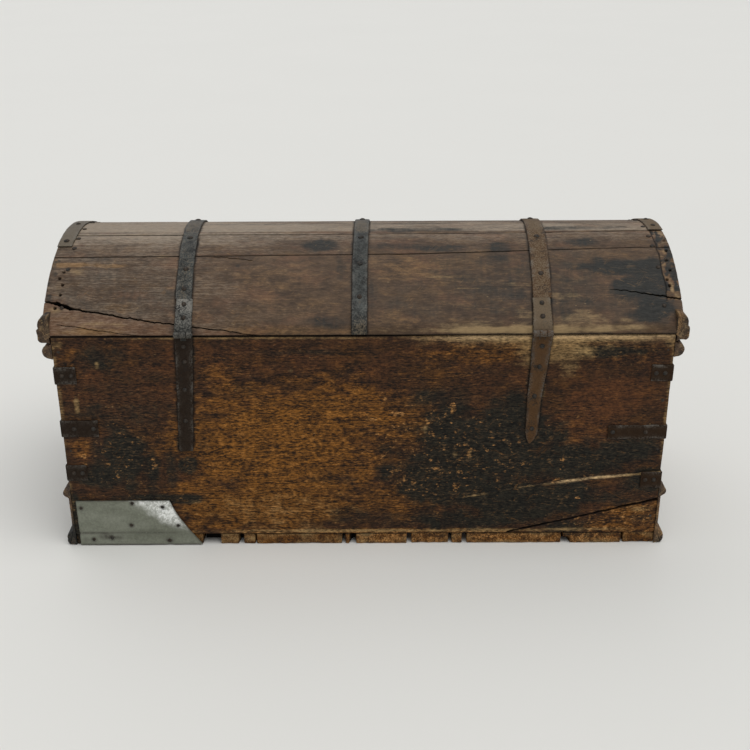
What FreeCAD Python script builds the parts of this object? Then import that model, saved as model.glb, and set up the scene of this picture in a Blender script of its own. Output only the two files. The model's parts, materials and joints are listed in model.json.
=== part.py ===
import FreeCAD
import Part
import os
from math import acos, asin, atan2, cos, sin, sqrt

# A dome top trunk. Millimetres, Z up, X along the length, the hinge side faces -Y and the lock side +Y.
# The origin is on the floor under the middle of the case.

Vector = FreeCAD.Vector
ALONG_X = Vector(1, 0, 0)
ALONG_Y = Vector(0, 1, 0)
ALONG_Z = Vector(0, 0, 1)

# Case: four upright boards on a floor of cross boards
case_length = 1190.0
case_depth = 520.0
case_height = 458.0
board_thickness = 24.0
bottom_thickness = 25.0
# Floor boards and the open joint after each, from the left end; they share out the case's length
bottom_board_widths = (261.0, 105.0, 176.0, 126.0, 76.0, 21.0, 194.0, 119.0, 63.0)
bottom_joint_widths = (3.0, 3.0, 7.0, 10.0, 7.0, 10.0, 4.0, 5.0)
# The split that parts the back board's lower right corner from the rest of it
split_start_from_end = 307.0
split_end_height = 101.0
split_width = 0.8

# Lid: five staves over two half-moon gables
lid_lip = 15.0
dome_rise = 130.0
stave_thickness = 20.0
stave_overhang = 15.0
stave_joint = 0.6
gable_thickness = 24.0
wood_fit = 0.2
stave_widths = (182.0, 76.0, 128.0, 97.0, 120.0)
stave_names = ("back_stave", "rear_top_stave", "crown_stave", "front_top_stave", "front_stave")

# Mouldings, each thick out from the case and high
lid_lap = 12.0
lap_clearance = 1.5
lid_moulding_thickness = 26.0
lid_moulding_height = 56.0
lid_moulding_round = 10.0
lid_moulding_flat = 26.0
lid_moulding_step = 4.0
lid_moulding_shelf = 8.0
front_lid_moulding_height = 26.0
front_lid_moulding_bevel = 7.0
stave_notch_gap = 1.0
rim_gap = 3.0
rim_thickness = 20.0
rim_height = 30.0
rim_edge = 4.0
plinth_thickness = 20.0
plinth_height = 128.0
plinth_fascia = 6.0
plinth_torus_height = 28.0
plinth_torus_bulge = 5.0
plinth_step = 4.0
plinth_bead_height = 16.0
plinth_bead_reach = 6.0
plinth_bead_bulge = 4.0

# Ironwork
strap_thickness = 3.5
leaf_thickness = 4.5
strap_fit = 0.4
left_hinge_x = -341.0
right_hinge_x = 341.0
centre_strap_x = -7.0
# How far each lid strap leans to the right on its way from the dome's back edge to its crest
left_strap_lean = -10.0
right_strap_lean = 10.0
centre_strap_lean = 3.0
left_strap_width = 31.0
right_strap_width = 36.0
centre_strap_width = 30.0
left_leaf_width = 33.5
right_leaf_width = 37.0
leaf_reach = 62.0
leaf_strap_gap = 0.5
strap_front_stop = 6.0
centre_strap_foot = 5.0
# Lower straps: across from the hinge's centre, and down from the strap's top
left_lower_outline = ((-17.0, 0.0), (17.0, 0.0), (2.0, 241.0), (-26.0, 241.0))
right_lower_outline = (
    (-19.0, 0.0), (19.0, 0.0), (13.0, 66.0), (4.0, 134.0), (1.0, 214.0),
    (-14.0, 227.0), (-23.0, 214.0), (-23.0, 134.0), (-20.0, 68.0),
)
pin_radius = 3.0
pin_clearance = 0.05
pin_end = 1.5
knuckle_radius = 6.5
knuckle_gap = 0.6
knuckle_side_gap = 0.5
centre_knuckle_share = 0.36
band_width = 30.0
band_thickness = 2.5
band_front_stop = 3.0
# Where the worn end bands start, as shares of the way over the dome from its back edge
left_band_start_share = 0.338
right_band_start_share = 0.441

# Corner irons from the top one down: back legs, widths, and shares of the way from the plinth to the rim
iron_thickness = 2.5
iron_end_leg = 45.0
left_iron_legs = (41.0, 72.0, 40.0)
left_iron_widths = (36.0, 35.0, 35.0)
left_iron_shares = (0.94, 0.484, 0.092)
right_iron_legs = (40.0, 114.0, 40.0)
right_iron_widths = (34.0, 30.0, 35.0)
right_iron_shares = (0.94, 0.439, 0.012)

# Zinc patch over the lower left corner of the back
patch_thickness = 0.9
patch_inset = 9.0
patch_foot = 2.5
patch_height = 104.0
patch_top_length = 190.0
patch_foot_length = 252.0
patch_hollow = 5.0

# Nails: head radius, head height, shank radius
rose_nail = (5.0, 2.6, 1.9)
patch_nail = (3.6, 1.6, 1.2)
stave_nail = (4.2, 1.6, 1.7)
nail_head_bulge = (0.7, 0.6)
nail_clearance = 0.15
nail_bite = 18.0
board_nail_radius = 2.4
board_nail_bite = 36.0
# Nails in the lower straps: across from the hinge's centre, and down from the strap's top
left_lower_nails = ((-1.0, 18.0), (-1.0, 49.0), (-5.0, 108.0), (-8.0, 174.0))
right_lower_nails = ((0.0, 20.0), (-3.0, 62.0), (-9.0, 124.0), (-11.0, 194.0))
# Nails in the hinge leaves, as shares of the leaf's reach
leaf_nail_shares = (0.36, 0.81)
# Nails in the lid straps, as shares of the way over the dome from its back edge
left_strap_nail_shares = (0.141, 0.221, 0.388, 0.613, 0.83, 0.962)
right_strap_nail_shares = (0.196, 0.388, 0.613, 0.83, 0.962)
centre_strap_nail_shares = (0.108, 0.242, 0.388, 0.613, 0.83, 0.962)
# Nails in the end bands, as shares of a band's length
left_band_nail_shares = (0.059, 0.325, 0.66, 0.958)
right_band_nail_shares = (0.082, 0.285, 0.61, 0.949)
# Nails of the irons: from the leg's end, and the share of the leg for the other one
iron_nail_inset = 9.0
iron_nail_share = 0.35
end_leg_nail_inset = 12.0
stave_nail_shares = (0.25, 0.75)
# Board nails between the irons, as shares from the plinth to the rim
board_nail_shares = (0.31, 0.68)
# Nails of the zinc patch: along from its left edge, and down from its top or up from the floor
patch_upper_nails = ((9.0, 17.0), (114.0, 6.0), (175.0, 15.0), (108.0, 57.0), (204.0, 58.0))
patch_floor_nails = ((28.0, 13.5), (66.0, 16.5), (184.0, 10.5))

# Bail handles on the ends
handle_drop = 148.0
eye_spread = 75.0
eye_thickness = 9.0
eye_radius = 10.5
eye_root_share = 0.6
eye_shank_radius = 4.0
eye_shank_end = 5.0
bail_radius = 5.5
bail_clearance = 0.4
bail_standoff = 14.0
bail_drop = 70.0
bail_bend = 14.0
bail_end = 6.0
bail_side_gap = 2.0

# Chest lock inside the front board
lock_width = 110.0
lock_depth = 30.0
lock_height = 92.0
lock_wall = 2.5
lock_below_joint = 6.0
catch_thickness = 8.0
catch_width = 18.0
catch_drop = 38.0
catch_window = (10.0, 15.0)
catch_foot = 5.0
bolt_clearance = 1.0
bolt_length = 40.0
bolt_gap = 4.0
ledge_height = 6.0
ledge_spare = 1.0
catch_slot_gap = 4.0
keyhole_plate_width = 58.0
keyhole_plate_height = 78.0
keyhole_plate_gap = 3.0
keyhole_plate_point = 11.6
keyhole_nail_inset = 9.0
keyhole_nail_drop = 6.0
keyhole_radius = 5.0
keyhole_slot_width = 6.0
keyhole_slot_length = 22.0
keyhole_drop = 18.0

# How far a cutting shape runs past what it cuts
cut_margin = 1.0

# Places worked out from the sizes above
half_length = case_length / 2
half_depth = case_depth / 2
back_face = -half_depth
front_face = half_depth
inner_back = back_face + board_thickness
inner_front = front_face - board_thickness
lip_top = case_height + lid_lip
dome_radius = (half_depth ** 2 + dome_rise ** 2) / (2 * dome_rise)
dome_centre = lip_top + dome_rise - dome_radius
edge_angle = atan2(half_depth, lip_top - dome_centre)
inner_radius = dome_radius - stave_thickness
inner_lip = half_depth - stave_thickness
dome_length = 2 * edge_angle * dome_radius
lid_moulding_foot = case_height - lid_lap
notch_top = lid_moulding_foot + lid_moulding_height + stave_notch_gap
rim_top = lid_moulding_foot - rim_gap
rim_foot = rim_top - rim_height
pin_y = back_face - knuckle_gap - knuckle_radius
pin_z = case_height + knuckle_radius + knuckle_gap
strap_top = case_height
strap_stop = dome_length - strap_front_stop
band_x = half_length + stave_overhang - band_width / 2
band_stop = (edge_angle + acos((notch_top - dome_centre) / dome_radius)) * dome_radius - band_front_stop
left_band_start = left_band_start_share * dome_length
right_band_start = right_band_start_share * dome_length
handle_height = case_height - handle_drop
nodes = {}


def on_x(x):
    """Places a (y, z) point on the plane at x."""
    return lambda point: Vector(x, point[0], point[1])


def on_y(y):
    """Places an (x, z) point on the plane at y."""
    return lambda point: Vector(point[0], y, point[1])


def outline_face(start, steps, place):
    """A closed face: a step is a point for a straight edge, or (middle, end) for an arc."""
    edges = []
    here = start
    for step in list(steps) + [start]:
        if isinstance(step[0], tuple):
            middle, end = step
            edges.append(Part.Arc(place(here), place(middle), place(end)).toShape())
        else:
            end = step
            edges.append(Part.LineSegment(place(here), place(end)).toShape())
        here = end
    return Part.Face(Part.Wire(edges))


def box(low, high):
    """A block between two opposite corners."""
    size = [top - bottom for bottom, top in zip(low, high)]
    return Part.makeBox(size[0], size[1], size[2], Vector(*low))


def rod(radius, start, length, direction):
    """A round bar."""
    return Part.makeCylinder(radius, length, start, direction)


def mirrored(shape):
    """The same piece for the other end of the trunk."""
    return shape.mirror(Vector(0, 0, 0), ALONG_X)


def front_copy(shape):
    """The same piece for the other long side of the trunk."""
    return shape.mirror(Vector(0, 0, 0), ALONG_Y)


def dome_point(radius, angle):
    """A (y, z) point of an arc about the dome's axis; the angle is from the crest towards the back."""
    return (-radius * sin(angle), dome_centre + radius * cos(angle))


def angle_along(distance):
    """The dome's angle at a distance over the dome from its back edge."""
    return edge_angle - distance / dome_radius


def over_dome(shares, start=0.0, stop=dome_length):
    """Distances over the dome from its back edge, for shares of the way between two such distances."""
    return [start + share * (stop - start) for share in shares]


def between_plinth_and_rim(share, width):
    """The foot of a piece so wide, placed between the plinth's top (0) and the rim's foot (1)."""
    return plinth_height + share * (rim_foot - plinth_height - width)


def nail(size, length, point, direction):
    """A domed nail with its head on a surface at the point, pointing out along the direction."""
    head_radius, head_height, shank_radius = size
    bulge = (head_radius * nail_head_bulge[0], head_height * nail_head_bulge[1])
    steps = [
        (bulge, (head_radius, 0.0)),
        (shank_radius, 0.0),
        (shank_radius, shank_radius - length),
        (0.0, -length),
    ]
    profile = outline_face((0.0, head_height), steps, on_y(0.0))
    solid = profile.revolve(Vector(0, 0, 0), ALONG_Z, 360)
    solid.Placement = FreeCAD.Placement(point, FreeCAD.Rotation(ALONG_Z, direction))
    return solid


def drive_nails(group, size, length, places, pieces):
    """Adds nails to a group and drills the pieces that they hold."""
    solids = list(nodes[group].Solids) if group in nodes else []
    holes = []
    for point, direction in places:
        solids.append(nail(size, length, point, direction))
        start = point + direction * cut_margin
        holes.append(rod(size[2] + nail_clearance, start, length + 2 * cut_margin, direction * -1))
    nodes[group] = Part.makeCompound(solids)
    for piece in pieces:
        nodes[piece] = nodes[piece].cut(holes)


def build_boards():
    """The four upright boards and the floor boards under them."""
    low = bottom_thickness
    back = box((-half_length, back_face, low), (half_length, inner_back, case_height))
    split_start = half_length - split_start_from_end
    corner_steps = [(half_length, low), (half_length, split_end_height)]
    corner = outline_face((split_start, low), corner_steps, on_y(back_face))
    rise = split_width * split_start_from_end / (split_end_height - low)
    gap_steps = [(half_length, low), (half_length, split_end_height + split_width)]
    gap = outline_face((split_start - rise, low), gap_steps, on_y(back_face))
    through = Vector(0, board_thickness, 0)
    nodes["back_board_broken_corner"] = corner.extrude(through)
    nodes["back_board"] = back.cut(gap.extrude(through))
    nodes["front_board"] = box((-half_length, inner_front, low), (half_length, front_face, case_height))
    right = box((half_length - board_thickness, inner_back, low), (half_length, inner_front, case_height))
    nodes["right_end_board"] = right
    nodes["left_end_board"] = mirrored(right)
    share = case_length / (sum(bottom_board_widths) + sum(bottom_joint_widths))
    left = -half_length
    for number, width in enumerate(bottom_board_widths):
        right_edge = left + width * share
        nodes["bottom_board_%d" % (number + 1)] = box(
            (left, back_face, 0.0), (right_edge, front_face, bottom_thickness)
        )
        if number < len(bottom_joint_widths):
            left = right_edge + bottom_joint_widths[number] * share


def end_moulding(steps, thickness):
    """A moulding along the right end, mitred at the front, from its (out, up) outline."""
    place = lambda point: Vector(half_length + point[0], back_face, point[1])
    bar = outline_face(steps[0], steps[1:], place).extrude(Vector(0, case_depth + thickness, 0))
    reach = 2 * thickness
    corners = [(0, 0), (reach, reach), (0, reach), (0, 0)]
    points = [Vector(half_length + out, front_face + ahead, -cut_margin) for out, ahead in corners]
    waste = Part.Face(Part.makePolygon(points)).extrude(Vector(0, 0, case_height + dome_rise))
    return bar.cut(waste)


def front_moulding(steps, thickness):
    """The matching moulding along the front, mitred at both ends."""
    start = -half_length - thickness
    place = lambda point: Vector(start, front_face + point[0], point[1])
    bar = outline_face(steps[0], steps[1:], place).extrude(Vector(case_length + 2 * thickness, 0, 0))
    reach = 2 * thickness
    corners = [(0, 0), (reach, reach), (reach, 0), (0, 0)]
    points = [Vector(half_length + out, front_face + ahead, -cut_margin) for out, ahead in corners]
    waste = Part.Face(Part.makePolygon(points)).extrude(Vector(0, 0, case_height + dome_rise))
    return bar.cut([waste, mirrored(waste)])


def build_case_mouldings():
    """The plinth at the foot and the half-round rim under the lid."""
    shoulder = plinth_thickness - plinth_torus_bulge
    bead = plinth_fascia + plinth_bead_reach
    bead_foot = plinth_height - plinth_bead_height
    plinth = [
        (0.0, 0.0),
        (shoulder, 0.0),
        ((plinth_thickness, plinth_torus_height / 2), (shoulder, plinth_torus_height)),
        (plinth_fascia, plinth_torus_height + plinth_step),
        (plinth_fascia, bead_foot - plinth_step),
        (bead, bead_foot),
        ((bead + plinth_bead_bulge, bead_foot + plinth_bead_height / 2), (bead, plinth_height)),
        (0.0, plinth_height),
    ]
    rim = [
        (0.0, rim_foot),
        (rim_edge, rim_foot),
        ((rim_thickness, rim_foot + rim_height / 2), (rim_edge, rim_top)),
        (0.0, rim_top),
    ]
    rows = (("plinth", plinth, plinth_thickness), ("rim_moulding", rim, rim_thickness))
    for name, steps, thickness in rows:
        nodes["right_" + name] = end_moulding(steps, thickness)
        nodes["left_" + name] = mirrored(nodes["right_" + name])
        nodes["front_" + name] = front_moulding(steps, thickness)


def stave(first, last):
    """One stave between two angles; the lowest ones stand on an upright lip."""
    at_back = first == edge_angle
    at_front = last == -edge_angle
    middle = (first + last) / 2
    lip_angle = asin(inner_lip / inner_radius)
    inner_first = lip_angle if at_back else first
    inner_last = -lip_angle if at_front else last
    inner_middle = (inner_first + inner_last) / 2
    steps = [(dome_point(dome_radius, middle), dome_point(dome_radius, last))]
    if at_front:
        steps += [(front_face, case_height), (inner_lip, case_height)]
    steps += [
        dome_point(inner_radius, inner_last),
        (dome_point(inner_radius, inner_middle), dome_point(inner_radius, inner_first)),
    ]
    if at_back:
        steps += [(-inner_lip, case_height), (back_face, case_height)]
    reach = half_length + stave_overhang
    face = outline_face(dome_point(dome_radius, first), steps, on_x(-reach))
    return face.extrude(Vector(2 * reach, 0, 0))


def build_dome():
    """The staves and the gables that carry them."""
    share = dome_length / (sum(stave_widths) + stave_joint * (len(stave_widths) - 1))
    beyond = half_length + 2 * stave_overhang
    notch = box((half_length, -case_depth, 0.0), (beyond, case_depth, notch_top))
    distance = 0.0
    for number, width in enumerate(stave_widths):
        is_last = number == len(stave_widths) - 1
        first = angle_along(distance) if number else edge_angle
        last = -edge_angle if is_last else angle_along(distance + width * share)
        nodes[stave_names[number]] = stave(first, last).cut([notch, mirrored(notch)])
        distance += (width + stave_joint) * share
    radius = inner_radius - wood_fit
    side = inner_lip - wood_fit
    lean = asin(side / radius)
    steps = [
        dome_point(radius, lean),
        (dome_point(radius, 0.0), dome_point(radius, -lean)),
        (side, case_height),
    ]
    gable = outline_face((-side, case_height), steps, on_x(half_length - gable_thickness))
    nodes["right_gable"] = gable.extrude(Vector(gable_thickness, 0, 0))
    nodes["left_gable"] = mirrored(nodes["right_gable"])


def build_lid_mouldings():
    """Lip mouldings that lap down over the joint at the ends and the front."""
    foot = lid_moulding_foot
    thick = lid_moulding_thickness
    bend = lid_moulding_round * (1 - sqrt(0.5))
    lower = [
        (lap_clearance, foot),
        (thick - lid_moulding_round, foot),
        ((thick - bend, foot + bend), (thick, foot + lid_moulding_round)),
    ]
    rebate = [(0.0, case_height), (lap_clearance, case_height)]
    top = foot + lid_moulding_height
    flat_top = foot + lid_moulding_flat
    hollow = flat_top + lid_moulding_step
    crown_out = thick - lid_moulding_step
    crown_middle = (crown_out - lid_moulding_step / 2, (hollow + top) / 2 + lid_moulding_step / 2)
    end = lower + [
        (thick, flat_top),
        (crown_out, hollow),
        (crown_middle, (lid_moulding_shelf, top)),
        (0.0, top),
    ] + rebate
    place = lambda point: Vector(half_length + point[0], back_face, point[1])
    bar = outline_face(end[0], end[1:], place).extrude(Vector(0, case_depth + thick, 0))
    nodes["right_lid_moulding"] = bar
    nodes["left_lid_moulding"] = mirrored(bar)
    front_top = foot + front_lid_moulding_height
    front = lower + [
        (thick, front_top - front_lid_moulding_bevel),
        (thick - front_lid_moulding_bevel, front_top),
        (0.0, front_top),
    ] + rebate
    place = lambda point: Vector(-half_length, front_face + point[0], point[1])
    nodes["front_lid_moulding"] = outline_face(front[0], front[1:], place).extrude(Vector(case_length, 0, 0))


def dome_strip(x, width, thickness, start, stop):
    """A flat iron strip bent over the dome between two distances from its back edge."""
    under = dome_radius + strap_fit
    first = angle_along(start)
    last = angle_along(stop)
    middle = (first + last) / 2
    steps = [
        (dome_point(under, middle), dome_point(under, last)),
        dome_point(under + thickness, last),
        (dome_point(under + thickness, middle), dome_point(under + thickness, first)),
    ]
    face = outline_face(dome_point(under, first), steps, on_x(x - width / 2))
    return face.extrude(Vector(width, 0, 0))


def leaning_x(x, lean, distance):
    """Where a leaning strap's centre is at a distance over the dome from its back edge."""
    y = dome_point(dome_radius, angle_along(distance))[0]
    return x + lean * (y - back_face) / half_depth


def leaning_strap(x, lean, width, start, stop):
    """A strap over the dome that leans to one side."""
    strip = dome_strip(x, case_length, strap_thickness, start, stop)
    slope = lean / half_depth
    points = []
    for side, y in ((-1, -case_depth), (1, -case_depth), (1, case_depth), (-1, case_depth)):
        points.append(Vector(x + side * width / 2 + slope * (y - back_face), y, 0))
    plan = Part.Face(Part.makePolygon(points + points[:1]))
    return strip.common(plan.extrude(Vector(0, 0, lip_top + 2 * dome_rise)))


def strap_foot(x, width, thickness, foot):
    """The short upright end of a strip on the lip, below its bend over the dome."""
    inner = back_face - strap_fit
    start = dome_point(dome_radius + strap_fit, edge_angle)
    steps = [
        dome_point(dome_radius + strap_fit + thickness, edge_angle),
        (inner - thickness, lip_top),
        (inner - thickness, foot),
        (inner, foot),
        (inner, lip_top - strap_fit),
    ]
    return outline_face(start, steps, on_x(x - width / 2)).extrude(Vector(width, 0, 0))


def on_dome(x, distance, height):
    """A point so high above the dome, and the direction straight out from the dome there."""
    angle = angle_along(distance)
    y, z = dome_point(dome_radius + height, angle)
    return Vector(x, y, z), Vector(0, -sin(angle), cos(angle))


def build_hinge(side, x, leaf_width, outline):
    """One strap hinge: a leaf on the lid with two knuckles, a lower strap with one, and the pin."""
    centre_width = leaf_width * centre_knuckle_share
    outer_width = (leaf_width - centre_width) / 2 - knuckle_side_gap
    left = x - leaf_width / 2
    right = x + leaf_width / 2
    centre_left = x - centre_width / 2
    hole_start = Vector(left - cut_margin, pin_y, pin_z)
    pin_hole = rod(pin_radius + pin_clearance, hole_start, leaf_width + 2 * cut_margin, ALONG_X)

    def knuckle(radius, start, width):
        return rod(radius, Vector(start, pin_y, pin_z), width, ALONG_X)

    # Lid leaf: two outer knuckles, and room between them for the centre one
    leaf = dome_strip(x, leaf_width, leaf_thickness, 0.0, leaf_reach)
    foot = strap_foot(x, leaf_width, leaf_thickness, pin_z)
    room = knuckle(
        knuckle_radius + knuckle_gap, left + outer_width, leaf_width - 2 * outer_width
    )
    leaf = leaf.fuse(foot).cut(room)
    leaf = leaf.fuse([knuckle(knuckle_radius, start, outer_width) for start in (left, right - outer_width)])
    nodes[side + "_hinge_leaf"] = leaf.cut(pin_hole).removeSplitter()

    # Lower strap: the centre knuckle stands on its top edge
    points = [(x + across, strap_top - down) for across, down in outline]
    strap = outline_face(points[0], points[1:], on_y(back_face)).extrude(Vector(0, -strap_thickness, 0))
    neck_back = back_face - knuckle_gap - strap_thickness
    root_foot = strap_top - knuckle_radius
    centre_right = centre_left + centre_width
    neck = box((centre_left, neck_back, root_foot), (centre_right, back_face - knuckle_gap, pin_z))
    root = box((centre_left, neck_back, root_foot), (centre_right, back_face, strap_top))
    strap = strap.fuse([neck, root, knuckle(knuckle_radius, centre_left, centre_width)])
    nodes[side + "_lower_strap"] = strap.cut(pin_hole).removeSplitter()
    start = Vector(left - pin_end, pin_y, pin_z)
    nodes[side + "_hinge_pin"] = rod(pin_radius, start, leaf_width + 2 * pin_end, ALONG_X)


def build_lid_irons():
    """Straps and end bands over the dome."""
    start = leaf_reach + leaf_strap_gap
    straps = (
        ("left", left_hinge_x, left_strap_lean, left_strap_width),
        ("right", right_hinge_x, right_strap_lean, right_strap_width),
    )
    for side, x, lean, width in straps:
        nodes[side + "_lid_strap"] = leaning_strap(x, lean, width, start, strap_stop)
    centre = leaning_strap(centre_strap_x, centre_strap_lean, centre_strap_width, 0.0, strap_stop)
    foot = strap_foot(centre_strap_x, centre_strap_width, strap_thickness, case_height + centre_strap_foot)
    nodes["centre_lid_strap"] = centre.fuse(foot).removeSplitter()
    nodes["left_end_band"] = dome_strip(-band_x, band_width, band_thickness, left_band_start, band_stop)
    nodes["right_end_band"] = dome_strip(band_x, band_width, band_thickness, right_band_start, band_stop)


def corner_iron(leg, width, share):
    """A flat iron bent round the back right corner of the case."""
    outer = iron_thickness
    foot = between_plinth_and_rim(share, width)
    steps = [
        (leg, 0.0), (leg, -outer), (-outer, -outer), (-outer, iron_end_leg), (0.0, iron_end_leg),
    ]
    place = lambda point: Vector(half_length - point[0], back_face + point[1], foot)
    return outline_face((0.0, 0.0), steps, place).extrude(Vector(0, 0, width))


def build_corner_irons():
    """Three irons on each upright corner of the case, and the nails that hold them."""
    outward_back = Vector(0, -1, 0)
    places = []
    left_irons = list(zip(left_iron_legs, left_iron_widths, left_iron_shares))
    right_irons = list(zip(right_iron_legs, right_iron_widths, right_iron_shares))
    for side, irons in (("left", left_irons), ("right", right_irons)):
        sign = 1 if side == "right" else -1
        bent = [corner_iron(*iron) for iron in irons]
        group = Part.makeCompound(bent if side == "right" else [mirrored(iron) for iron in bent])
        nodes["back_%s_corner_irons" % side] = group
        nodes["front_%s_corner_irons" % side] = front_copy(group)
        for leg, width, share in irons:
            height = between_plinth_and_rim(share, width) + width / 2
            for along in (leg * iron_nail_share, leg - iron_nail_inset):
                x = sign * (half_length - along)
                places.append((Vector(x, back_face - iron_thickness, height), outward_back))
                places.append((Vector(x, front_face + iron_thickness, height), ALONG_Y))
            out = sign * (half_length + iron_thickness)
            reach = half_depth - iron_end_leg + end_leg_nail_inset
            for y in (-reach, reach):
                places.append((Vector(out, y, height), ALONG_X * sign))
    irons = ["%s_%s_corner_irons" % (face, side) for face in ("back", "front") for side in ("left", "right")]
    boards = ["back_board", "front_board", "left_end_board", "right_end_board"]
    drive_nails("case_rose_nails", rose_nail, nail_bite + iron_thickness, places, irons + boards)


def build_patch():
    """A galvanised sheet nailed over the worn lower left corner of the back."""
    left = -half_length + patch_inset
    top_right = left + patch_top_length
    foot_right = left + patch_foot_length
    middle_x = (top_right + foot_right) / 2 - patch_hollow
    middle_z = (patch_height + patch_foot) / 2
    steps = [
        (left, patch_height),
        (top_right, patch_height),
        ((middle_x, middle_z), (foot_right, patch_foot)),
    ]
    sheet = outline_face((left, patch_foot), steps, on_y(back_face)).extrude(Vector(0, -patch_thickness, 0))
    nodes["zinc_patch"] = sheet
    spots = [(along, patch_height - down) for along, down in patch_upper_nails] + list(patch_floor_nails)
    places = [(Vector(left + along, back_face - patch_thickness, z), ALONG_Y * -1) for along, z in spots]
    pieces = ["zinc_patch", "back_board", "bottom_board_1"]
    drive_nails("zinc_patch_nails", patch_nail, nail_bite + patch_thickness, places, pieces)


def build_strap_nails():
    """Nails through the straps, leaves and bands."""
    lower = (("left", left_hinge_x, left_lower_nails), ("right", right_hinge_x, right_lower_nails))
    for side, x, spots in lower:
        places = [
            (Vector(x + across, back_face - strap_thickness, strap_top - down), ALONG_Y * -1)
            for across, down in spots
        ]
        pieces = [side + "_lower_strap", "back_board"]
        drive_nails("case_rose_nails", rose_nail, nail_bite + strap_thickness, places, pieces)
    leaf_spots = over_dome(leaf_nail_shares, stop=leaf_reach)
    left_band_spots = over_dome(left_band_nail_shares, left_band_start, band_stop)
    right_band_spots = over_dome(right_band_nail_shares, right_band_start, band_stop)
    left_spots = over_dome(left_strap_nail_shares)
    right_spots = over_dome(right_strap_nail_shares)
    centre_spots = over_dome(centre_strap_nail_shares)
    rows = (
        ("left_hinge_leaf", left_hinge_x, 0.0, leaf_thickness, leaf_spots),
        ("right_hinge_leaf", right_hinge_x, 0.0, leaf_thickness, leaf_spots),
        ("left_lid_strap", left_hinge_x, left_strap_lean, strap_thickness, left_spots),
        ("right_lid_strap", right_hinge_x, right_strap_lean, strap_thickness, right_spots),
        ("centre_lid_strap", centre_strap_x, centre_strap_lean, strap_thickness, centre_spots),
        ("left_end_band", -band_x, 0.0, band_thickness, left_band_spots),
        ("right_end_band", band_x, 0.0, band_thickness, right_band_spots),
    )
    for piece, x, lean, thickness, distances in rows:
        places = [
            on_dome(leaning_x(x, lean, distance), distance, strap_fit + thickness) for distance in distances
        ]
        drive_nails("lid_rose_nails", rose_nail, stave_thickness, places, [piece] + list(stave_names))


def build_wood_nails():
    """Nails that hold the staves to the gables and the long boards to the end boards."""
    nail_x = band_x - band_width / 2 - cut_margin - stave_nail[0]
    share = dome_length / sum(stave_widths)
    distance = 0.0
    places = []
    for width in stave_widths:
        for part in stave_nail_shares:
            along = distance + width * share * part
            places += [on_dome(x, along, 0.0) for x in (-nail_x, nail_x)]
        distance += width * share
    pieces = list(stave_names) + ["left_gable", "right_gable"]
    drive_nails("stave_nails", stave_nail, stave_thickness + nail_bite, places, pieces)

    nail_x = half_length - board_thickness / 2
    heights = [between_plinth_and_rim(share, 0.0) for share in board_nail_shares]
    heights.append(rim_foot + rim_height / 2)
    spots = [(x, z) for x in (-nail_x, nail_x) for z in heights]
    spots.append((nail_x, (bottom_thickness + split_end_height) / 2))
    length = board_thickness + board_nail_bite
    solids = []
    holes = []
    for x, z in spots:
        for start, inward in ((back_face, ALONG_Y), (front_face, ALONG_Y * -1)):
            point = Vector(x, start, z)
            solids.append(rod(board_nail_radius, point, length, inward))
            holes.append(rod(board_nail_radius + nail_clearance, point, length + cut_margin, inward))
    nodes["board_nails"] = Part.makeCompound(solids)
    boards = ("back_board", "back_board_broken_corner", "front_board", "left_end_board", "right_end_board")
    for piece in boards:
        nodes[piece] = nodes[piece].cut(holes)


def build_handles():
    """Forged bails hanging in two eyes on each end."""
    pivot_x = half_length + bail_standoff
    hole_start = Vector(pivot_x, -case_depth, handle_height)
    hole = rod(bail_radius + bail_clearance, hole_start, 2 * case_depth, ALONG_Y)
    eyes = []
    shank_holes = []
    for y in (-eye_spread, eye_spread):
        start = y - eye_thickness / 2
        ring = rod(eye_radius, Vector(pivot_x, start, handle_height), eye_thickness, ALONG_Y)
        root = box(
            (half_length, start, handle_height - eye_radius * eye_root_share),
            (pivot_x, start + eye_thickness, handle_height + eye_radius * eye_root_share),
        )
        shank_length = board_thickness + eye_shank_end
        shank_start = Vector(half_length - shank_length, y, handle_height)
        shank = rod(eye_shank_radius, shank_start, shank_length + cut_margin, ALONG_X)
        clear = Vector(half_length - shank_length - cut_margin, y, handle_height)
        clear_length = shank_length + 2 * cut_margin
        shank_holes.append(rod(eye_shank_radius + nail_clearance, clear, clear_length, ALONG_X))
        eyes.append(ring.fuse([root, shank]).cut(hole).removeSplitter())
    nodes["right_end_board"] = nodes["right_end_board"].cut(shank_holes)
    nodes["left_end_board"] = nodes["left_end_board"].cut([mirrored(shank) for shank in shank_holes])
    nodes["right_handle_eyes"] = Part.makeCompound(eyes)
    nodes["left_handle_eyes"] = Part.makeCompound([mirrored(eye) for eye in eyes])

    # The bail's centre line: out of one eye, down a leg, along the grip and back up
    leg_y = eye_spread - eye_thickness / 2 - bail_side_gap - bail_bend
    end_y = eye_spread + eye_thickness / 2 + bail_end
    knee = bail_bend * (1 - sqrt(0.5))
    high = handle_height
    low = handle_height - bail_drop
    place = on_x(pivot_x)
    half = [
        ((end_y, high), (leg_y + bail_bend, high)),
        ((leg_y + bail_bend, high), (leg_y + knee, high - knee), (leg_y, high - bail_bend)),
        ((leg_y, high - bail_bend), (leg_y, low + bail_bend)),
        ((leg_y, low + bail_bend), (leg_y - knee, low + knee), (leg_y - bail_bend, low)),
    ]
    grip = ((leg_y - bail_bend, low), (bail_bend - leg_y, low))
    other = [tuple((-y, z) for y, z in reversed(run)) for run in reversed(half)]
    edges = []
    for run in half + [grip] + other:
        points = [place(point) for point in run]
        curve = Part.LineSegment(*points) if len(points) == 2 else Part.Arc(*points)
        edges.append(curve.toShape())
    circle = Part.Circle(Vector(pivot_x, end_y, handle_height), ALONG_Y, bail_radius).toShape()
    bail = Part.Wire(edges).makePipeShell([Part.Wire([circle])], True, False)
    nodes["right_handle_bail"] = bail
    nodes["left_handle_bail"] = mirrored(bail)


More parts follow.
